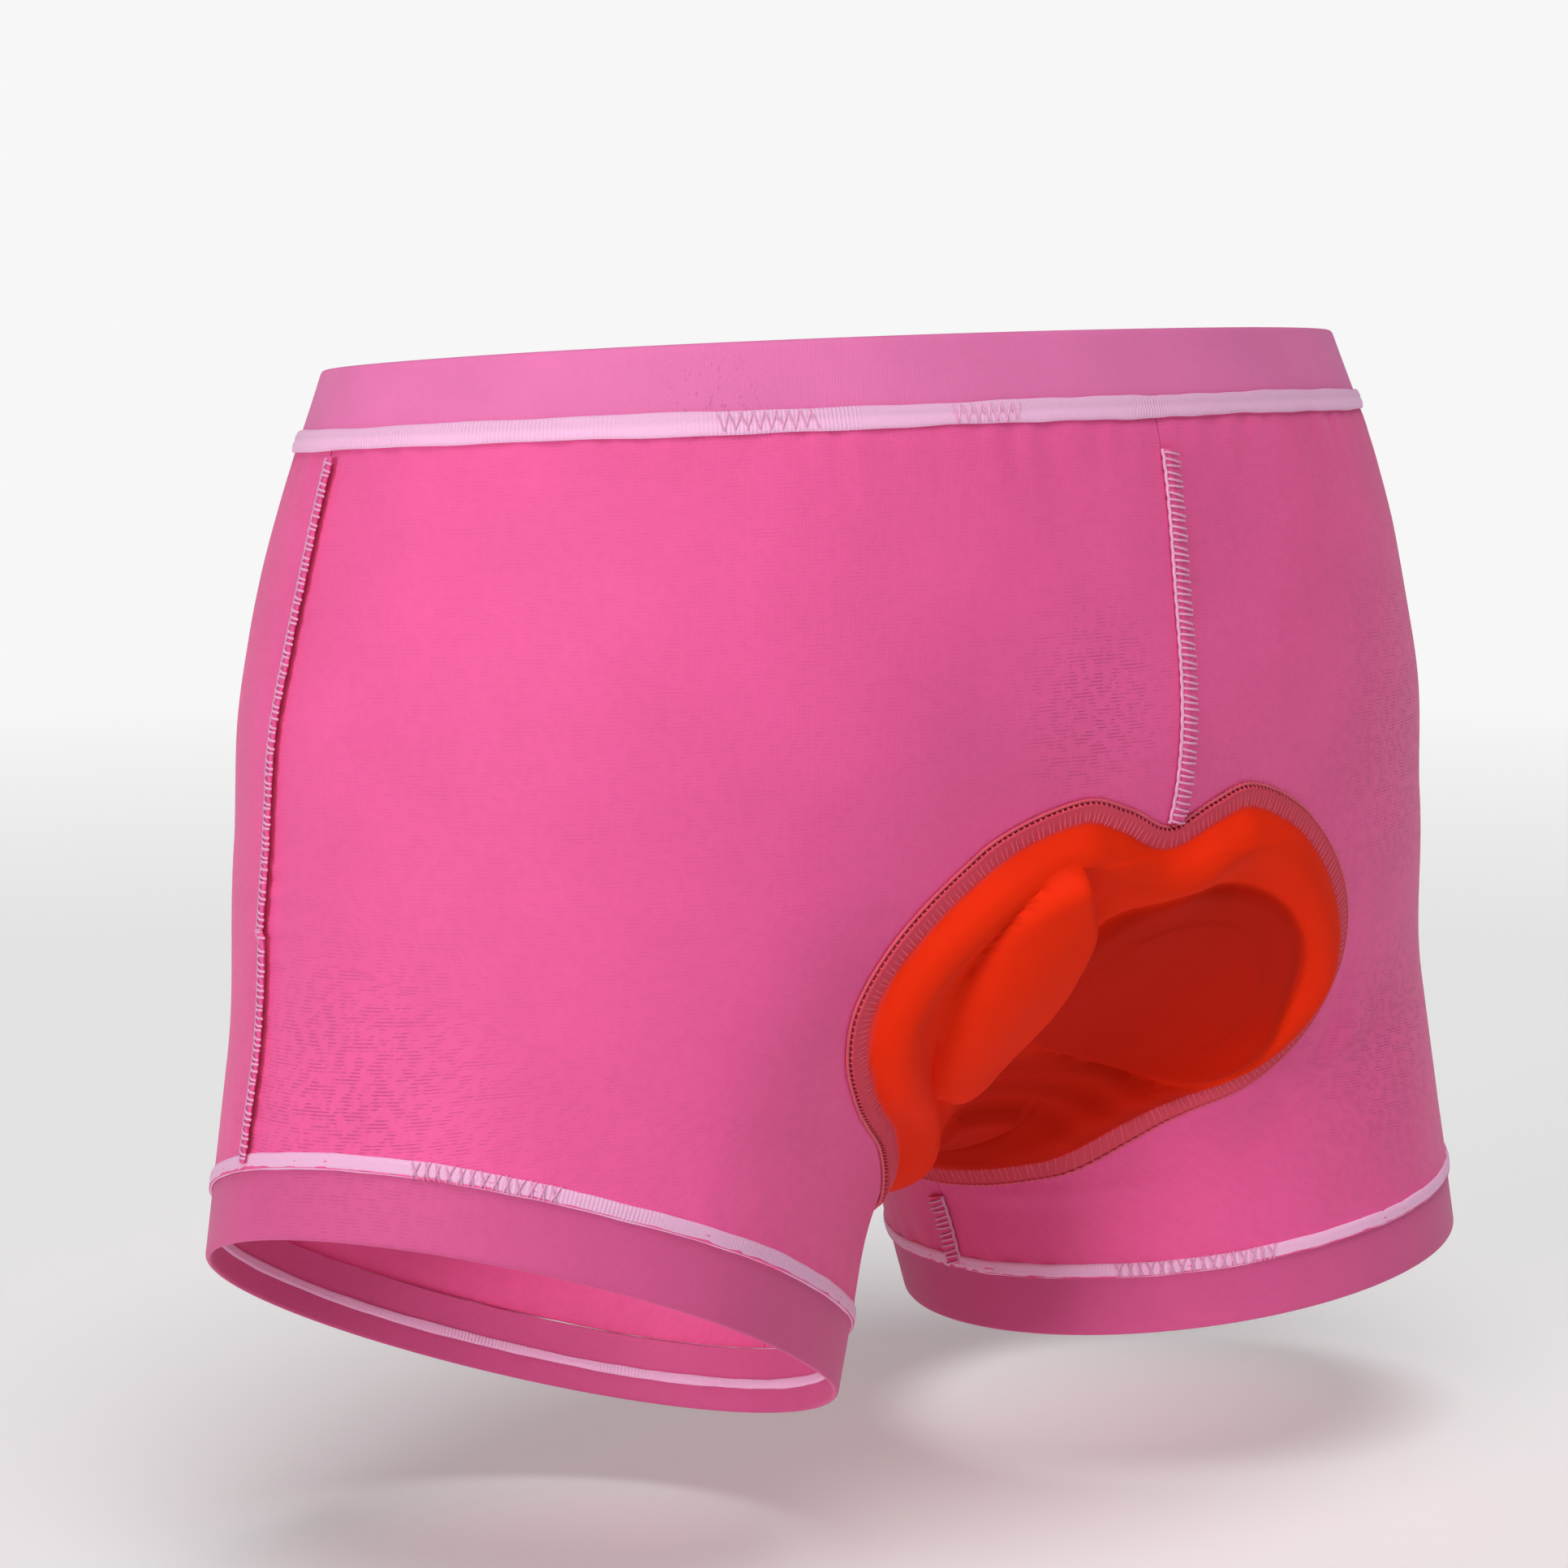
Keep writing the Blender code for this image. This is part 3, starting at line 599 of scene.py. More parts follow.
def near_lobe_height(across, along):
    """Gives the height of the near back lobe: a round cushion with a steep inner side."""
    v = (along - NEAR_LOBE["along"]) / NEAR_LOBE["half_along"]
    ends = np.sqrt(np.clip(1 - v * v, 0, 1))
    outer = NEAR_LOBE["inner"] + NEAR_LOBE["reach"] * ends
    inner = NEAR_LOBE["inner"] + 0.013 * ease((along - 0.052) / 0.052)
    inner = inner + 0.012 * (1 - ease((along - 0.010) / 0.024))
    inside = np.sqrt(ease((across - inner) / 0.0052))
    down = np.clip((outer - across) / 0.020, 0, 1)
    return inside * np.sqrt(1 - (1 - down) ** 2) * ease(ends / 0.45)


def pad_thickness(plan, inset, look):
    """Gives the pad's thickness at points of its flat plan, with its rim, lobes and cushions."""
    across, along = plan[:, 0], plan[:, 1]
    rear = 1 - ease((along - 0.105) / 0.050)
    tongue = ease((along - 0.205) / 0.020)
    body = BODY_THICK + (TONGUE_THICK - BODY_THICK) * tongue
    edge = np.sqrt(ease((inset - BORDER) / 0.0050))
    thick = BORDER_THICK + (body - BORDER_THICK) * edge
    near_side = ease((across + 0.010) / 0.020)
    rim_reach = np.maximum(rear, near_side * (1 - ease((along - 0.160) / 0.040)))
    thick = thick + look.rim_rise * rim_reach * bump(inset - RIM_INSET, 0.0062) * edge
    depth = far_lobe_depth(across, along)
    plateau = ease(depth / 0.004) * 0.0012 + ease((depth - 0.0095) / 0.002) * 0.0005
    crease = bump(depth, 0.0011) * 0.0016
    beside = 1 - ease((across - 0.020) / 0.003)
    thick = thick + (plateau - crease) * beside * rear * edge
    thick = thick + look.lobe_rise * near_lobe_height(across, along) * edge
    edge_line = NEAR_LOBE["inner"] + 0.013 * ease((along - 0.052) / 0.052)
    groove = bump(across - edge_line + 0.002, 0.0020) * ease((along - 0.020) / 0.02)
    thick = thick - 0.0012 * groove * rear * edge
    for start, end, half_start, half_end, rise in CUSHIONS:
        t = np.clip((along - start) / (end - start), 0, 1)
        side_room = half_start + (half_end - half_start) * t - np.abs(across)
        room = np.minimum(np.minimum(along - start, end - along), side_room)
        thick = thick + rise * ease(room / 0.004)
        thick = thick - 0.0008 * bump(room + 0.001, 0.0012) * edge
    folds = np.sin((along - 0.100) * 2 * pi / 0.0105 + 18 * across)
    low = ease((along - 0.098) / 0.006) * (1 - ease((along - 0.122) / 0.010)) * ease((0.020 - across) / 0.02)
    thick = thick + 0.0008 * folds * low * edge
    crossing = bump(along - 0.222 - 3.0 * across**2, 0.0022)
    return thick - 0.0012 * crossing * edge


class Wire:
    """A value in a material, which can be used in sums like a number."""

    def __init__(self, finish, socket):
        self.finish = finish
        self.socket = socket

    def math(self, operation, *values):
        """Adds a Math node for one operation on some values."""
        node = self.finish.node("ShaderNodeMath", {"operation": operation}, dict(enumerate(values)))
        return self.finish.out(node)

    def __add__(self, other):
        return self.math("ADD", self, other)

    def __sub__(self, other):
        return self.math("SUBTRACT", self, other)

    def __rsub__(self, other):
        return self.math("SUBTRACT", other, self)

    def __mul__(self, other):
        return self.math("MULTIPLY", self, other)

    def __truediv__(self, other):
        return self.math("DIVIDE", self, other)

    __radd__ = __add__
    __rmul__ = __mul__

    def wave(self):
        """Gives the sine of the value."""
        return self.math("SINE", self)

    def held(self, low=0.0, high=1.0):
        """Holds the value between two limits."""
        return self.math("MINIMUM", self.math("MAXIMUM", self, low), high)


class Finish:
    """One material, with its nodes added by name."""

    def __init__(self, name, colour, roughness, sheen=0.0, specular=0.4):
        self.material = bpy.data.materials.new(name)
        self.material.use_nodes = True
        self.tree = self.material.node_tree
        self.shader = self.tree.nodes["Principled BSDF"]
        constants = {
            "Base Color": (*colour, 1.0),
            "Roughness": roughness,
            "Sheen Weight": sheen,
            "Sheen Roughness": 0.45,
            "Specular IOR Level": specular,
        }
        for socket, value in constants.items():
            self.put(self.shader.inputs[socket], value)

    def put(self, socket, value):
        """Sets a socket to a number or colour, or links it to a value."""
        if isinstance(value, Wire):
            self.tree.links.new(value.socket, socket)
        else:
            socket.default_value = value

    def node(self, kind, settings=None, sockets=None):
        """Adds a node, with its settings first and then its sockets."""
        made = self.tree.nodes.new(kind)
        for name, value in (settings or {}).items():
            setattr(made, name, value)
        for name, value in (sockets or {}).items():
            self.put(made.inputs[name], value)
        return made

    def out(self, node, name=0):
        """Gives one output of a node."""
        return Wire(self, node.outputs[name])

    def noise(self, place, scale, detail=2.0):
        """Gives a noise value around 0.5."""
        sockets = {"Vector": place, "Scale": scale, "Detail": detail}
        return self.out(self.node("ShaderNodeTexNoise", {}, sockets), "Fac")

    def spots(self, place, scale):
        """Gives the distance from the nearest of many scattered points."""
        return self.out(self.node("ShaderNodeTexVoronoi", {}, {"Vector": place, "Scale": scale}), "Distance")

    def across(self):
        """Gives the object's own place and the cloth's two directions."""
        solid = self.out(self.node("ShaderNodeTexCoord"), "Object")
        flat = self.out(self.node("ShaderNodeUVMap", {"uv_map": "cloth"}))
        split = self.node("ShaderNodeSeparateXYZ", {}, {"Vector": flat})
        return solid, flat, self.out(split, "X"), self.out(split, "Y")

    def painted(self, name):
        """Gives a value painted on the piece's points."""
        return self.out(self.node("ShaderNodeAttribute", {"attribute_name": name}), "Fac")

    def blend(self, factor, first, second):
        """Blends two colours."""
        node = self.node("ShaderNodeMix", {"data_type": "RGBA"}, {0: factor})
        for socket, value in ((node.inputs[6], first), (node.inputs[7], second)):
            self.put(socket, value if isinstance(value, Wire) else (*value, 1.0))
        return self.out(node, 2)

    def relief(self, height, strength, distance):
        """Raises the surface's look by a height."""
        sockets = {"Strength": strength, "Distance": distance, "Height": height}
        node = self.node("ShaderNodeBump", {}, sockets)
        self.put(self.shader.inputs["Normal"], self.out(node))

    def colour(self, value):
        """Feeds the colour."""
        self.put(self.shader.inputs["Base Color"], value)


def shade(colour, amount):
    """Makes a colour darker or lighter."""
    return tuple(min(1.0, part * amount) for part in colour[:3])


@lru_cache(maxsize=None)
def knit_finish(name, colour, row_height=0.00095, row_strength=1.0):
    """Makes stretch knit: fine broken rows, faint wales, pinholes and a soft sheen."""
    f = Finish(name, colour, 0.60, sheen=0.10, specular=0.20)
    solid, flat, u, v = f.across()
    wander = (f.noise(solid, 38.0) - 0.5) * 0.0009
    rows = (((v + wander) * (2 * pi / row_height)).wave() - 0.10).held() * 1.1
    breaks = (f.noise(flat, 330.0, 1.0) - 0.44) * 7.0
    wales = (u * (2 * pi / 0.00078)).wave()
    shown = 0.22 + 0.78 * f.painted("row")
    lines = rows * breaks.held() * shown * row_strength
    pins = (1 - f.spots(flat, 620.0) * 3.0).held() * f.painted("pin")
    mottle = f.noise(solid, 26.0, 3.0)
    f.relief(wales * 0.10 - lines * 1.3 - pins * 1.6 + f.noise(flat, 900.0, 1.0) * 0.35, 0.6, 0.00024)
    dark = (0.30 + lines * 0.62 + pins * 0.40 + (mottle - 0.5) * 0.5).held()
    f.colour(f.blend(dark, shade(colour, 1.09), shade(colour, 0.62)))
    return f.material


@lru_cache(maxsize=None)
def tape_finish(name, colour):
    """Makes the soft woven tape that is sewn over the joins, with two bands and cross threads."""
    f = Finish(name, colour, 0.66, sheen=0.15, specular=0.2)
    solid, flat, u, v = f.across()
    threads = (u * (2 * pi / 0.0011)).wave()
    patches = ((f.noise(solid, 30.0) - 0.46) * 7.0).held()
    fuzz = f.noise(flat, 1400.0, 3.0)
    f.relief(threads * patches * 0.6 + fuzz, 0.5, 0.0002)
    upper = (v * 900.0 + 0.5).held()
    dark = (0.45 - upper * 0.35 + threads * patches * 0.25 + (fuzz - 0.5) * 0.6).held()
    f.colour(f.blend(dark, shade(colour, 1.12), shade(colour, 0.80)))
    return f.material


@lru_cache(maxsize=None)
def thread_finish(name, colour):
    """Makes twisted polyester thread."""
    f = Finish(name, colour, 0.5, sheen=0.2, specular=0.35)
    solid, _, u, v = f.across()
    twist = ((u + v * 0.6) * (2 * pi / 0.0006)).wave()
    f.relief(twist, 0.4, 0.0001)
    f.colour(f.blend((twist * 0.25 + f.noise(solid, 160.0)).held(), shade(colour, 1.1), shade(colour, 0.8)))
    return f.material


@lru_cache(maxsize=None)
def pad_finish(name, colour, border):
    """Makes the pad's facing over foam, with painted shade in its hollows, and a border of the edge's colour.
    """
    f = Finish(name, colour, 0.72, sheen=0.0, specular=0.06)
    solid = f.across()[0]
    grain = f.noise(solid, 1500.0, 2.0)
    soft = f.noise(solid, 34.0, 3.0)
    f.relief(grain + soft * 0.6, 0.22, 0.0002)
    facing = f.blend((soft * 1.3 - 0.15).held(), shade(colour, 1.05), shade(colour, 0.88))
    # Painted shade: darkens the far back lobe and the folded middle below the lobes, as if they lay in the
    # hollow's shade
    facing = f.blend(f.painted("deep"), facing, PAD_PAINTED_SHADE_COLOUR)
    f.colour(f.blend(f.painted("border"), facing, border))
    return f.material


def make_mesh(name, points, faces, material, uvs=None, sharp=50.0):
    """Makes one closed piece from its points and faces, facing outward."""
    mesh = bpy.data.meshes.new(name)
    mesh.from_pydata([tuple(p) for p in points], [], faces)
    mesh.materials.append(material)
    if uvs is not None:
        layer = mesh.uv_layers.new(name="cloth")
        layer.data.foreach_set("uv", np.asarray(uvs, dtype=np.float32).ravel())
    mesh.shade_smooth()
    mesh.set_sharp_from_angle(angle=radians(sharp))
    corners = np.array([points[list(face)[:3]] for face in faces])
    if np.einsum("ij,ij->i", corners[:, 0], np.cross(corners[:, 1], corners[:, 2])).sum() < 0:
        mesh.flip_normals()
    piece = bpy.data.objects.new(name, mesh)
    bpy.context.scene.collection.objects.link(piece)
    return piece


def paint_zones(piece):
    """Paints on a piece where its pinholes and rows show strongly."""
    mesh = piece.data
    points = np.empty(len(mesh.vertices) * 3)
    mesh.vertices.foreach_get("co", points)
    points = points.reshape(-1, 3)
    for kind in ("pin", "row"):
        value = np.zeros(len(points))
        for zone in ZONES:
            if zone[0] == kind:
                away = np.linalg.norm(points - np.array(zone[1:4]), axis=1)
                value = np.maximum(value, 1 - ease(away / zone[4]))
        mesh.attributes.new(kind, "FLOAT", "POINT").data.foreach_set("value", value)


def loft(name, sections, material, along, around, closed=False, sharp=50.0):
    """Makes a closed piece by skinning sections, each a closed loop of points."""
    count, size = sections.shape[:2]
    points = sections.reshape(-1, 3)
    faces, uvs = [], []
    for i in range(count if closed else count - 1):
        n = (i + 1) % count
        for k in range(size):
            m = (k + 1) % size
            faces.append((i * size + k, i * size + m, n * size + m, n * size + k))
            u0, u1, v0, v1 = along[i], along[i + 1], around[k], around[k + 1]
            uvs += [(u0, v0), (u0, v1), (u1, v1), (u1, v0)]
    if not closed:
        for i, order in ((0, -1), (count - 1, 1)):
            faces.append(tuple(i * size + k for k in range(size))[::order])
            uvs += [(along[i], around[k]) for k in range(size)][::order]
    return make_mesh(name, points, faces, material, uvs, sharp)


def threads(name, paths, facing, radius, material, sides=5):
    """Makes many threads as one piece, each a closed tube. Paths and facings are arrays of rows of points."""
    count, length = paths.shape[:2]
    ahead = unit(np.gradient(paths, axis=1))
    side = unit(np.cross(facing, ahead))
    out = np.cross(ahead, side)
    turn = (np.arange(sides) * 2 * pi / sides)[:, None]
    ringed = side[:, :, None] * np.cos(turn) + out[:, :, None] * np.sin(turn)
    points = (paths[:, :, None] + ringed * radius).reshape(-1, 3)
    run = np.swapaxes(run_along(np.swapaxes(paths, 0, 1)), 0, 1)
    faces, uvs = [], []
    for n in range(count):
        start = n * length * sides
        for i in range(length - 1):
            for k in range(sides):
                m = (k + 1) % sides
                a, b = start + i * sides + k, start + i * sides + m
                faces.append((a, b, b + sides, a + sides))
                v0, v1 = k * radius, (k + 1) * radius
                uvs += [(run[n, i], v0), (run[n, i], v1), (run[n, i + 1], v1), (run[n, i + 1], v0)]
        for i, order in ((0, -1), (length - 1, 1)):
            faces.append(tuple(start + i * sides + k for k in range(sides))[::order])
            uvs += [(run[n, i], k * radius) for k in range(sides)][::order]
    return make_mesh(name, points, faces, material, uvs, 80.0)


def rungs_across(base_line, run, across, step, places, heights, slant):
    """Gives the paths of stitches across a seam, one each step, leaning a little."""
    count = int(run[-1] / step)
    stops = (np.arange(count) + 0.5)[:, None] * step + slant(np.arange(count))[:, None] * places
    reach = 1 + 0.05 * np.sin(np.arange(count) * 1.7)[:, None]
    spread = places * reach
    base = np.stack([np.interp(stops, run, base_line[:, axis]) for axis in range(base_line.shape[1])], -1)
    side = np.stack([np.interp(stops, run, across[:, axis]) for axis in range(base_line.shape[1])], -1)
    return base + side * spread[..., None], np.broadcast_to(heights, stops.shape)


def puckers(distance, run, phase, length=0.0078, height=0.00026):
    """Gives the small puckers that a seam's stitches pull into the cloth beside it."""
    near = distance / 0.0055
    wander = 0.9 * np.sin(run * 2 * pi / 0.047 + phase) + 0.5 * np.sin(run * 2 * pi / 0.029 + 2 * phase)
    wave = np.sin(run * 2 * pi / length + wander + phase)
    patch = 0.65 + 0.35 * np.sin(run * 2 * pi / 0.061 + 1.3 * phase)
    return height * near * np.exp(1 - near) * wave * patch


def panel_relief(grid, name):
    """Gives the small relief of a panel: puckers by its seams, and a lip over the leg's tape."""
    across = run_along(np.swapaxes(grid, 0, 1)).T
    down = run_along(grid)
    from_left, from_right = across, across[:, -1:] - across
    from_top, from_foot = down, down[-1:] - down
    phase = float(len(name)) + (2.0 if "front" in name else 0.0)
    relief = puckers(from_left, down, phase)
    relief = relief + puckers(from_right, down, phase + 1.0)
    relief = relief + puckers(from_top, across, phase + 2.0, 0.0125, 0.00034)
    relief = relief + puckers(from_foot, across, phase + 3.0, 0.0115, 0.00030)
    return relief + 0.0010 * (1 - ease(from_foot / 0.0075))


def open_edge(grid, facing, edge, neighbour, corner):
    """Moves a panel's edge column half a gap inward, turning the corner at the crotch."""
    line, out = grid[:, edge], facing[:, edge]
    inward = grid[:, neighbour] - line
    move = np.zeros_like(line)
    stretches = (slice(0, corner + 1), slice(corner, None)) if corner else (slice(None),)
    for part in stretches:
        along = unit(np.gradient(line[part], axis=0))
        across = unit(np.cross(out[part], along))
        toward = np.sum(across * inward[part], axis=-1, keepdims=True)
        move[part] += np.where(toward < 0, -across, across) * GAP / 2
    return line + move


def make_panel(name, grid, facing, wall, material):
    """Makes a panel of cloth as a thin closed shell with its relief."""
    relief = (fold_height(grid) + panel_relief(grid, name))[..., None]
    outer = grid + facing * relief
    inner = outer - facing * wall
    rows, columns = grid.shape[:2]
    count = rows * columns
    across = run_along(np.swapaxes(grid, 0, 1)).T
    across = across - across[:, columns // 2][:, None]
    down = run_along(grid)
    number = np.arange(count).reshape(rows, columns)
    a, b = number[:-1, :-1].ravel(), number[:-1, 1:].ravel()
    c, d = number[1:, 1:].ravel(), number[1:, :-1].ravel()
    front = np.stack((a, b, c, d), axis=1)
    back = front[:, ::-1] + count
    loop = np.concatenate((number[0], number[1:, -1], number[-1, -2::-1], number[-2:0:-1, 0]))
    after = np.roll(loop, -1)
    rim = np.stack((after, loop, loop + count, after + count), axis=1)
    faces = np.concatenate((front, back, rim))
    flat = np.stack((across.ravel(), down.ravel()), axis=1)
    flat = np.concatenate((flat, flat))
    points = np.concatenate((outer.reshape(-1, 3), inner.reshape(-1, 3)))
    piece = make_mesh(name, points, [tuple(f) for f in faces.tolist()], material, flat[faces.ravel()])
    paint_zones(piece)
    return piece


def make_band(name, rings, wall, material):
    """Makes a folded band from rings that run from its seam to its edge, round and back inside."""
    outer = np.array([ring_points for ring_points, _ in rings])
    depth = np.array([inward for _, inward in rings])
    facing = normals(outer)
    sections = np.swapaxes(outer - facing * (depth * wall)[:, None, None], 0, 1)
    along = run_along(np.concatenate((outer[0], outer[0][:1])))
    around = run_along(np.concatenate((sections[0], sections[0][:1])))
    piece = loft(name, sections, material, along, around, closed=True)
    paint_zones(piece)
    return piece


def band_stops(height, wall):
    """Gives where a folded band's rings lie: distance from its edge, and share of its wall inward."""
    seam = height - GAP / 2
    half = wall / 2
    outer = [(d, 0.0) for d in np.linspace(seam, half * 1.4, 12)]
    turn = [(half * 1.4 * (1 - sin(a)), (1 - cos(a)) / 2) for a in np.linspace(0, pi, 8)[1:-1]]
    inner = [(d, 1.0) for d in np.linspace(half * 1.4, seam, 9)]
    return outer + turn + inner


def make_strip(name, line, facing, profile, material, closed, phase=1.0, waver=0.0003):
    """Makes a flat strip along a line. Its profile gives places across it and heights over the cloth."""
    ends = line if not closed else np.concatenate((line[-1:], line, line[:1]))
    ahead = np.gradient(ends, axis=0)
    ahead = unit(ahead[1:-1] if closed else ahead)
    across = unit(np.cross(facing, ahead))
    share = np.arange(len(line)) / len(line)
    sections = []
    for place, height in profile:
        sway = waver * unevenness(share, phase + np.sign(place), (7, 19, 43))
        p = settle(line + across * (place + sway)[:, None])
        lift = height + fold_height(p)
        sections.append(p + normals(p) * np.asarray(lift)[..., None])
    sections = np.swapaxes(np.array(sections), 0, 1)
    looped = np.concatenate((line, line[:1])) if closed else line
    places = [place for place, _ in profile]
    return loft(name, sections, material, run_along(looped), places + [places[0]], closed, 60.0)


def strip_profile(low, high, thick, lift=0.0002, crown=0.0002):
    """Gives a rounded flat profile between two places across a strip."""
    width = high - low
    shares = (0.0, 0.03, 0.12, 0.35, 0.5, 0.65, 0.88, 0.97, 1.0)
    top = []
    for s in shares:
        round_off = min(1.0, 0.45 + 9 * min(s, 1 - s))
        middle = crown if s in (0.35, 0.65) else 0.0
        top.append((low + width * s, lift + thick * round_off + middle))
    under = [(low + width * s, lift) for s in (0.97, 0.5, 0.03)]
    return top + under


def make_cross_threads(name, line, middle, width, places, material):
    """Makes the loose zigzag of threads that shows on a tape near some places."""
    line = np.concatenate((line, line[:1]))
    run = run_along(line)
    across = unit(np.cross(normals(line), unit(np.gradient(line, axis=0))))
    spread = middle + width * np.array((-0.5, -0.42, 0.0, 0.42, 0.5))
    heights = np.array((0.0007, 0.0013, 0.0015, 0.0013, 0.0007))
    spots, lift = rungs_across(line, run, across, CROSS_THREAD_STEP, spread, heights,
                               lambda n: 0.35 * np.where(n % 2 == 0, 1.0, -1.0) + 0.1 * np.sin(n * 2.1))
    near = np.zeros(len(spots), dtype=bool)
    for x, y, z, reach in places:
        near |= np.linalg.norm(spots[:, 2] - np.array((x, y, z)), axis=-1) < reach
    paths = lay(spots[near], lift[near])
    return threads(name, paths, normals(paths), CROSS_THREAD_RADIUS, material, 4)


def seam_line(name):
    """Gives the points of a seam and the cloth's facing there."""
    if name == "centre_back":
        stops, line = centre_line()
        line = line[(stops > 0.003) & (stops < PAD_TOP + 0.008)]
    elif name == "centre_front":
        stops, line = centre_line()
        line = line[(stops > PAD_TOP + 0.279) & (stops < stops[-1] - 0.002)]
    else:
        kind, side = name.split("_")
        rows, crotch, _ = half_rows(1 if side == "left" else -1)
        line = rows[:, BACK_COLUMNS] if kind == "side" else rows[crotch:, 0]
        run = run_along(line)
        start = 0.004 if kind == "side" else INSEAM_START
        line = line[(run > start) & (run < run[-1] - 0.001)]
    run = run_along(line)
    stops = np.arange(0, run[-1], SEAM_SPACING)
    line = settle(np.stack([np.interp(stops, run, line[:, axis]) for axis in range(3)], axis=-1))
    return line, normals(line)


def make_overlock(name, way, stand, material, thread):
    """Makes an overlocked seam: its flattened allowance, its edge line and its rungs of thread."""
    line, facing = seam_line(name)
    low, high = (0.0, ALLOWANCE) if way > 0 else (-ALLOWANCE, 0.0)
    profile = strip_profile(low, high, 0.0010)
    profile = [(place, height + stand * abs(place) / ALLOWANCE) for place, height in profile]
    strip = make_strip(f"{name}_allowance", line, facing, profile, material, False, 1.0 + way, 0.00025)
    ahead = unit(np.gradient(line, axis=0))
    across = unit(np.cross(facing, ahead)) * way
    run = run_along(line)
    places = np.array((-0.0004, 0.0004, 0.0025, ALLOWANCE - 0.0004, ALLOWANCE + 0.0003))
    heights = np.array((0.0005, 0.0014, 0.00165, 0.0014, 0.0004)) + stand * np.array((0, 0.05, 0.5, 1, 1))
    spots, lift = rungs_across(line, run, across, STITCH_STEP, places, heights,
                               lambda n: 0.20 + 0.08 * np.sin(n * 2.3))
    paths = lay(spots, lift)
    rungs = threads(f"{name}_rungs", paths, normals(paths), 0.00034, thread, 5)
    beads = 0.00016 * np.sin(run * 2 * pi / STITCH_STEP)
    edge_path = lay(line - across * (0.0004 - beads[:, None]), 0.0007 + np.abs(beads))[None]
    edge = threads(f"{name}_edge", edge_path, facing[None], 0.00048, thread, 6)
    return [strip, rungs, edge]


def make_pad_mesh(look, material):
    """Makes the moulded pad with its relief, laid over the seat and through the fork."""
    outline = outline_curve(PAD_LINES)
    spine = np.clip(outline[:, 1], *PAD_SPINE)
    shares = np.linspace(0, 1, PAD_RINGS) ** 0.85
    plan, number = [], {}
    for n, ((half, end), root) in enumerate(zip(outline, spine)):
        for side in (1, -1):
            for k, share in enumerate(shares):
                if (half < 1e-6 or k == 0) and side == -1:
                    number[n, side, k] = number[n, 1, k]
                elif k == 0 and n and spine[n - 1] == root:
                    number[n, side, k] = number[n - 1, 1, 0]
                else:
                    number[n, side, k] = len(plan)
                    plan.append((side * half * share, root + (end - root) * share))
    plan = np.array(plan)
    inset = outline_inset(plan)
    base = settle(on_seat(plan))
    facing = normals(base)
    under = base + facing * (PAD_LIFT + fold_height(base))[:, None]
    over = under + facing * pad_thickness(plan, inset, look)[:, None]
    top = []
    for n in range(PAD_LINES - 1):
        for side in (1, -1):
            for k in range(PAD_RINGS - 1):
                face = [number[n, side, k], number[n, side, k + 1],
                        number[n + 1, side, k + 1], number[n + 1, side, k]][::side]
                face = tuple(dict.fromkeys(face))
                if len(face) > 2:
                    top.append(face)
    count = len(plan)
    rim = [number[n, 1, PAD_RINGS - 1] for n in range(PAD_LINES)]
    rim += [number[n, -1, PAD_RINGS - 1] for n in range(PAD_LINES - 2, 0, -1)]
    faces = top + [tuple(i + count for i in reversed(face)) for face in top]
    faces += [(b, a, a + count, b + count) for a, b in zip(rim, rim[1:] + rim[:1])]
    flat = np.concatenate((plan, plan))
    uvs = [flat[i] for face in faces for i in face]
    piece = make_mesh("seat_pad", np.concatenate((over, under)), faces, material, uvs, 70.0)
    border = 1 - ease((inset - BORDER + 0.0010) / 0.0014)
    across, along = plan[:, 0], plan[:, 1]
    # Painted shade mask: the far back lobe and the folded middle below the lobes, stored on the points for
    # the facing to darken
    lobe = ease((far_lobe_depth(across, along) + 0.001) / 0.004) * (1 - ease((across - 0.020) / 0.006))
    low = ease((along - 0.088) / 0.012) * (1 - ease((along - 0.150) / 0.030))
    low = low * (1 - ease((across - 0.012) / 0.020))
    for name, value in (("border", border), ("deep", np.maximum(lobe, low) * (1 - border))):
        painted = piece.data.attributes.new(name, "FLOAT", "POINT")
        painted.data.foreach_set("value", np.concatenate((value, value)))
    return piece


def make_pad_edging(material):
    """Makes the overlock stitches round the pad's edge, and the thread line outside them."""
    loop = whole_outline(260)
    loop = np.concatenate((loop, loop[:1]))
    run = run_along(loop)
    count = int(run[-1] / STITCH_STEP)
    ahead = unit(np.gradient(loop, axis=0))
    inward = np.stack((-ahead[:, 1], ahead[:, 0]), axis=-1)
    places = np.array((-0.0007, 0.0001, 0.0022, 0.0042, 0.0052))
    heights = np.array((0.0004, 0.0015, 0.0016, 0.0018, 0.0016))
    step = run[-1] / count
    spots, lift = rungs_across(loop, run, inward, step, places, heights, lambda n: 0.07 * np.sin(n * 2.7))
    paths = lay(on_seat(spots.reshape(-1, 2)).reshape(*spots.shape[:2], 3), lift)
    rungs = threads("pad_edge_rungs", paths, normals(paths), 0.00032, material, 5)
    stops = np.arange(0, run[-1] - 0.001, 0.0009)
    spot = np.stack([np.interp(stops, run, loop[:, axis]) for axis in range(2)], axis=-1)
    side = np.stack([np.interp(stops, run, inward[:, axis]) for axis in range(2)], axis=-1)
    wave = 0.00022 * np.sin(stops * 2 * pi / step)
    path = lay(on_seat(spot - side * (0.0011 + wave)[:, None]), 0.0006)[None]
    line = threads("pad_edge_line", path, normals(path), 0.00045, material, 6)
    return [rungs, line]


def declare(piece, nodes=()):
    """Says what a piece rides on, and which solids it stands for."""
    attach(piece, "root")
    if nodes:
        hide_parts(*nodes)
    return piece


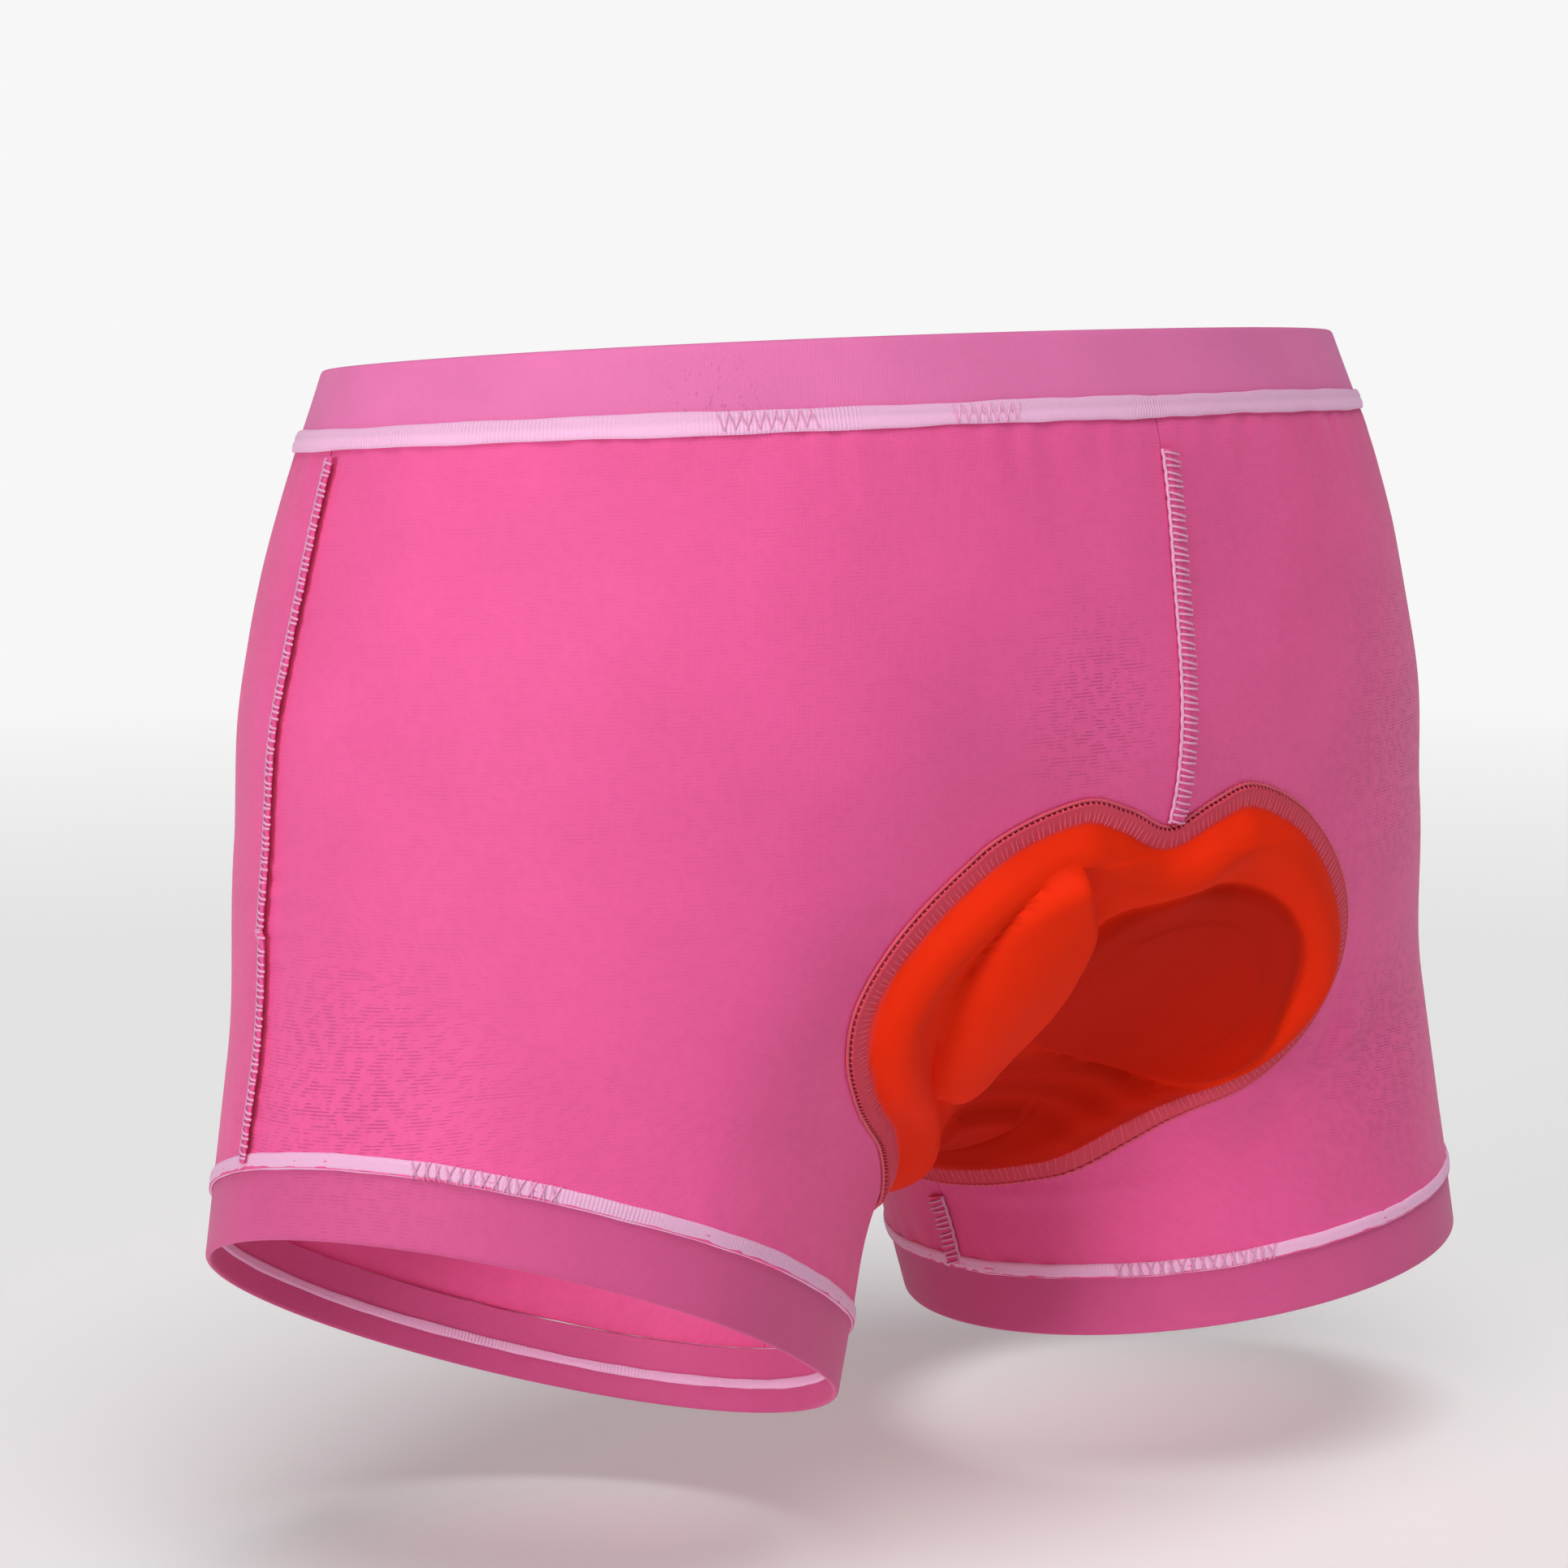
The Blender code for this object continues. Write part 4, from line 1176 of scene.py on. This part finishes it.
class ShortsCloth(bpy.types.PropertyGroup):
    """Sizes and colours of the knit."""

    panel_wall: bpy.props.FloatProperty(
        name="Panel Wall", description="Thickness of the body panels", default=0.0012, unit="LENGTH")
    waist_wall: bpy.props.FloatProperty(
        name="Waistband Wall", description="Thickness of the folded waistband", default=0.0022, unit="LENGTH")
    band_wall: bpy.props.FloatProperty(
        name="Leg Band Wall", description="Thickness of the folded leg bands", default=0.0018, unit="LENGTH")
    panel_colour: bpy.props.FloatVectorProperty(
        name="Panel Colour", description="Colour of the body panels", subtype="COLOR",
        default=(0.900, 0.112, 0.345))
    waist_colour: bpy.props.FloatVectorProperty(
        name="Waistband Colour", description="Colour of the waistband", subtype="COLOR",
        default=(0.840, 0.190, 0.455))
    band_colour: bpy.props.FloatVectorProperty(
        name="Leg Band Colour", description="Colour of the leg bands", subtype="COLOR",
        default=(0.700, 0.098, 0.285))


class ShortsSewing(bpy.types.PropertyGroup):
    """Sizes and colours of the tapes and threads."""

    waist_tape: bpy.props.FloatProperty(
        name="Waist Tape Width", description="Width of the tape over the waist seam", default=0.0062,
        unit="LENGTH")
    hem_tape: bpy.props.FloatProperty(
        name="Leg Tape Width", description="Width of the tape over the leg seams", default=0.0047,
        unit="LENGTH")
    tape_colour: bpy.props.FloatVectorProperty(
        name="Tape Colour", description="Colour of the tapes", subtype="COLOR", default=(0.860, 0.470, 0.700))
    thread_colour: bpy.props.FloatVectorProperty(
        name="Thread Colour", description="Colour of the seam thread", subtype="COLOR",
        default=(0.880, 0.400, 0.640))
    edge_colour: bpy.props.FloatVectorProperty(
        name="Pad Thread Colour", description="Colour of the thread round the pad", subtype="COLOR",
        default=(0.800, 0.085, 0.140))


class ShortsPad(bpy.types.PropertyGroup):
    """Sizes and colour of the pad."""

    rim_rise: bpy.props.FloatProperty(
        name="Rim Rise", description="Height of the rolled rim over the pad's body", default=RIM_RISE,
        unit="LENGTH")
    lobe_rise: bpy.props.FloatProperty(
        name="Lobe Rise", description="Height of the raised lobe", default=0.0115, unit="LENGTH")
    colour: bpy.props.FloatVectorProperty(
        name="Pad Colour", description="Colour of the pad's facing", subtype="COLOR",
        default=(0.830, 0.026, 0.003))


class ShortsStage(bpy.types.PropertyGroup):
    """The floor and the light."""

    floor: bpy.props.FloatProperty(
        name="Floor", description="Height of the floor", default=-0.336, unit="LENGTH")
    key: bpy.props.FloatProperty(
        name="Key", description="Strength of the large soft light from the left", default=1.38)
    top: bpy.props.FloatProperty(
        name="Top", description="Strength of the soft light from above", default=2.00)
    fill: bpy.props.FloatProperty(
        name="Fill", description="Brightness of the surroundings", default=0.09)


class MakePanels(bpy.types.Operator):
    """Make the four body panels"""

    bl_idname = "shorts.make_panels"
    bl_label = "Body Panels"

    def execute(self, context):
        cloth = context.scene.shorts_cloth
        material = knit_finish("pink_knit", tuple(cloth.panel_colour))
        for side, name in ((1, "left"), (-1, "right")):
            rows, crotch, _ = half_rows(side)
            facing = normals(rows)
            spans = (("back", 0, BACK_COLUMNS), ("front", BACK_COLUMNS, rows.shape[1] - 1))
            for part, first, last in spans:
                grid, out = rows[:, first:last + 1].copy(), facing[:, first:last + 1]
                width = last - first
                centre, edge = (0, width) if part == "back" else (width, 0)
                centre_line_moved = open_edge(grid, out, centre, 1 if centre == 0 else width - 1, crotch)
                edge_moved = open_edge(grid, out, edge, 1 if edge == 0 else width - 1, 0)
                grid[:, centre], grid[:, edge] = centre_line_moved, edge_moved
                piece = make_panel(f"{part}_panel_{name}", grid, out, cloth.panel_wall, material)
                declare(piece, [f"{part}_{name}"])
        return {"FINISHED"}


class MakeBands(bpy.types.Operator):
    """Make the waistband and the two leg bands"""

    bl_idname = "shorts.make_bands"
    bl_label = "Waistband and Leg Bands"

    def execute(self, context):
        cloth = context.scene.shorts_cloth
        material = knit_finish("waist_knit", tuple(cloth.waist_colour), 0.00095, 0.5)
        stops = band_stops(WAIST_BAND, cloth.waist_wall)
        rings = [(waist_ring(max(d, 0.0)), inward) for d, inward in stops]
        piece = make_band("waistband_cloth", rings, cloth.waist_wall, material)
        declare(piece, ["waistband"])
        material = knit_finish("band_knit", tuple(cloth.band_colour), 0.00095, 0.6)
        for side, name in ((1, "left"), (-1, "right")):
            stops = band_stops(LEG_BAND, cloth.band_wall)
            rings = [(hem_ring(side, max(d, 0.0)), inward) for d, inward in stops]
            piece = make_band(f"leg_band_cloth_{name}", rings, cloth.band_wall, material)
            declare(piece, [f"leg_band_{name}"])
        return {"FINISHED"}


class MakePad(bpy.types.Operator):
    """Make the moulded pad and the stitches round its edge"""

    bl_idname = "shorts.make_pad"
    bl_label = "Pad"

    def execute(self, context):
        look = context.scene.shorts_pad
        sewing = context.scene.shorts_sewing
        border = shade(tuple(sewing.edge_colour), 0.82)
        piece = make_pad_mesh(look, pad_finish("pad_facing", tuple(look.colour), border))
        declare(piece, ["pad"])
        thread = thread_finish("pad_thread", tuple(sewing.edge_colour))
        for part in make_pad_edging(thread):
            declare(part)
        return {"FINISHED"}


class MakeTapes(bpy.types.Operator):
    """Make the tapes over the waist seam and the leg seams"""

    bl_idname = "shorts.make_tapes"
    bl_label = "Tapes"

    def execute(self, context):
        sewing = context.scene.shorts_sewing
        material = tape_finish("soft_tape", tuple(sewing.tape_colour))
        half = sewing.waist_tape / 2
        line = waist_ring(WAIST_BAND)
        profile = strip_profile(-half, half, 0.0009, 0.00025)
        piece = make_strip("waist_tape", line, normals(line), profile, material, True, 2.0, 0.0004)
        declare(piece)
        for side, name in ((1, "left"), (-1, "right")):
            line = hem_ring(side, LEG_BAND - 0.0004)
            profile = strip_profile(-sewing.hem_tape, -0.0002, 0.0008, 0.00015)
            if side < 0:
                profile = strip_profile(0.0002, sewing.hem_tape, 0.0008, 0.00015)
            piece = make_strip(f"hem_tape_{name}", line, normals(line), profile, material, True, 3.0, 0.0003)
            declare(piece)
            line = hem_ring(side, INNER_TAPE_HEIGHT)
            wall = context.scene.shorts_cloth.band_wall
            profile = strip_profile(-INNER_TAPE_WIDTH / 2, INNER_TAPE_WIDTH / 2, 0.0005, 0.0002)
            profile = [(place, -wall - height) for place, height in profile]
            inner = f"inner_tape_{name}"
            piece = make_strip(inner, line, normals(line), profile, material, True, 4.0, 0.0002)
            declare(piece)
        thread = thread_finish("seam_thread", tuple(sewing.thread_colour))
        waist, left, right = waist_ring(WAIST_BAND), hem_ring(1, LEG_BAND), hem_ring(-1, LEG_BAND)
        for name, line, width, slot in (("waist_tape", waist, 0.0052, "knit_waist"),
                                        ("hem_tape_left", left, 0.0044, "knit_band"),
                                        ("hem_tape_right", right, 0.0044, "knit_band")):
            places = [zone[1:] for zone in STITCHED if zone[0] == name]
            middle = 0.0 if name == "waist_tape" else -width / 2 * (1 if name == "hem_tape_left" else -1)
            piece = make_cross_threads(f"{name}_threads", line, middle, width, places, thread)
            declare(piece)
        return {"FINISHED"}


class MakeSeams(bpy.types.Operator):
    """Make the overlocked seams: allowance, edge line and rungs"""

    bl_idname = "shorts.make_seams"
    bl_label = "Overlocked Seams"

    def execute(self, context):
        scene = context.scene
        cloth = knit_finish("pink_knit", tuple(scene.shorts_cloth.panel_colour))
        thread = thread_finish("seam_thread", tuple(scene.shorts_sewing.thread_colour))
        for name, way, stand in SEAMS:
            for piece in make_overlock(name, way, stand, cloth, thread):
                declare(piece)
        return {"FINISHED"}


def add_disc(name, rings, material, around=96):
    """Makes a round sheet from rings, each a radius and a height."""
    turn = np.arange(around) * 2 * pi / around
    points, faces = [(0, 0, rings[0][1])], []
    for radius, height in rings:
        points += [(radius * cos(a), radius * sin(a), height) for a in turn]
    for k in range(around):
        faces.append((0, 1 + k, 1 + (k + 1) % around))
    for i in range(len(rings) - 1):
        for k in range(around):
            a, b = 1 + i * around + k, 1 + i * around + (k + 1) % around
            faces.append((a, a + around, b + around, b))
    mesh = bpy.data.meshes.new(name)
    mesh.from_pydata(points, [], faces)
    mesh.materials.append(material)
    mesh.shade_smooth()
    sheet = bpy.data.objects.new(name, mesh)
    bpy.context.scene.collection.objects.link(sheet)
    return sheet


def add_sun(name, toward, strength, spread):
    """Adds a distant soft light that comes from a direction."""
    light = bpy.data.lights.new(name, "SUN")
    light.energy = strength
    light.angle = radians(spread)
    lamp = bpy.data.objects.new(name, light)
    lamp.rotation_euler = (-Vector(toward)).to_track_quat("-Z", "Y").to_euler()
    bpy.context.scene.collection.objects.link(lamp)


class MakeStage(bpy.types.Operator):
    """Make the pale floor, the backdrop, the soft light and the camera"""

    bl_idname = "shorts.make_stage"
    bl_label = "Stage"

    def execute(self, context):
        look = context.scene.shorts_stage
        floor = Finish("pale_floor", (0.97, 0.97, 0.97), 0.9, 0.0, 0.0)
        solid = floor.out(floor.node("ShaderNodeTexCoord"), "Object")
        radius = floor.out(floor.node("ShaderNodeVectorMath", {"operation": "LENGTH"}, {0: solid}), 1)
        far = ((radius - 0.6) / 1.6).held(0.30)
        glow = floor.node("ShaderNodeEmission", {}, {"Color": (1, 1, 1, 1), "Strength": BACKDROP})
        mixed = floor.node("ShaderNodeMixShader", {}, {0: far})
        floor.tree.links.new(floor.shader.outputs[0], mixed.inputs[1])
        floor.tree.links.new(glow.outputs[0], mixed.inputs[2])
        floor.tree.links.new(mixed.outputs[0], floor.tree.nodes["Material Output"].inputs["Surface"])
        add_disc("floor", [(r, look.floor) for r in (0.2, 0.5, 1.0, 2.0, 4.0, 8.0, 16.0)], floor.material)
        paper = Finish("backdrop_paper", (0.0, 0.0, 0.0), 1.0, 0.0, 0.0)
        paper.put(paper.shader.inputs["Emission Color"], (1, 1, 1, 1))
        paper.put(paper.shader.inputs["Emission Strength"], BACKDROP)
        arc = [(16.0 * cos(a), look.floor + 16.0 * sin(a)) for a in np.linspace(0, pi / 2, 20)[-2::-1]]
        dome = add_disc("backdrop", [(r, z) for r, z in arc], paper.material)
        dome.visible_diffuse = dome.visible_glossy = dome.visible_shadow = False
        add_sun("key", KEY_FROM, look.key, 18.0)
        add_sun("top", TOP_FROM, look.top, 40.0)
        world = bpy.data.worlds.new("surroundings")
        world.use_nodes = True
        back = world.node_tree.nodes["Background"]
        back.inputs["Color"].default_value = (1, 1, 1, 1)
        back.inputs["Strength"].default_value = look.fill
        context.scene.world = world
        context.scene.view_settings.view_transform = "Standard"
        camera = bpy.data.objects.new("camera", bpy.data.cameras.new("camera"))
        camera.data.lens = CAMERA_LENS
        camera.data.clip_end = 60
        camera.location = CAMERA_PLACE
        aim = Vector(CAMERA_AIM) - Vector(CAMERA_PLACE)
        camera.rotation_euler = aim.to_track_quat("-Z", "Y").to_euler()
        context.scene.collection.objects.link(camera)
        context.scene.camera = camera
        return {"FINISHED"}


STEPS = (MakeBands, MakePanels, MakePad, MakeTapes, MakeSeams, MakeStage)
GROUPS = {
    "shorts_cloth": ShortsCloth,
    "shorts_sewing": ShortsSewing,
    "shorts_pad": ShortsPad,
    "shorts_stage": ShortsStage,
}


class ShortsPanel(bpy.types.Panel):
    """Lists the steps that make the shorts"""

    bl_idname = "VIEW3D_PT_shorts"
    bl_label = "Cycling Shorts"
    bl_space_type = "VIEW_3D"
    bl_region_type = "UI"
    bl_category = "Shorts"

    def draw(self, context):
        for step in STEPS:
            self.layout.operator(step.bl_idname)
        for name in GROUPS:
            box = self.layout.box()
            group = getattr(context.scene, name)
            for value in group.__annotations__:
                box.prop(group, value)


def register():
    """Registers the classes and hangs the settings on the scene."""
    for kind in (*GROUPS.values(), *STEPS, ShortsPanel):
        bpy.utils.register_class(kind)
    for name, kind in GROUPS.items():
        setattr(bpy.types.Scene, name, bpy.props.PointerProperty(type=kind))


def unregister():
    """Takes the settings and classes away again."""
    for name in GROUPS:
        delattr(bpy.types.Scene, name)
    for kind in (ShortsPanel, *STEPS[::-1], *list(GROUPS.values())[::-1]):
        bpy.utils.unregister_class(kind)


def main():
    """Makes every piece."""
    register()
    bpy.ops.shorts.make_panels()
    bpy.ops.shorts.make_bands()
    bpy.ops.shorts.make_pad()
    bpy.ops.shorts.make_tapes()
    bpy.ops.shorts.make_seams()
    bpy.ops.shorts.make_stage()


if __name__ == "__main__":
    main()
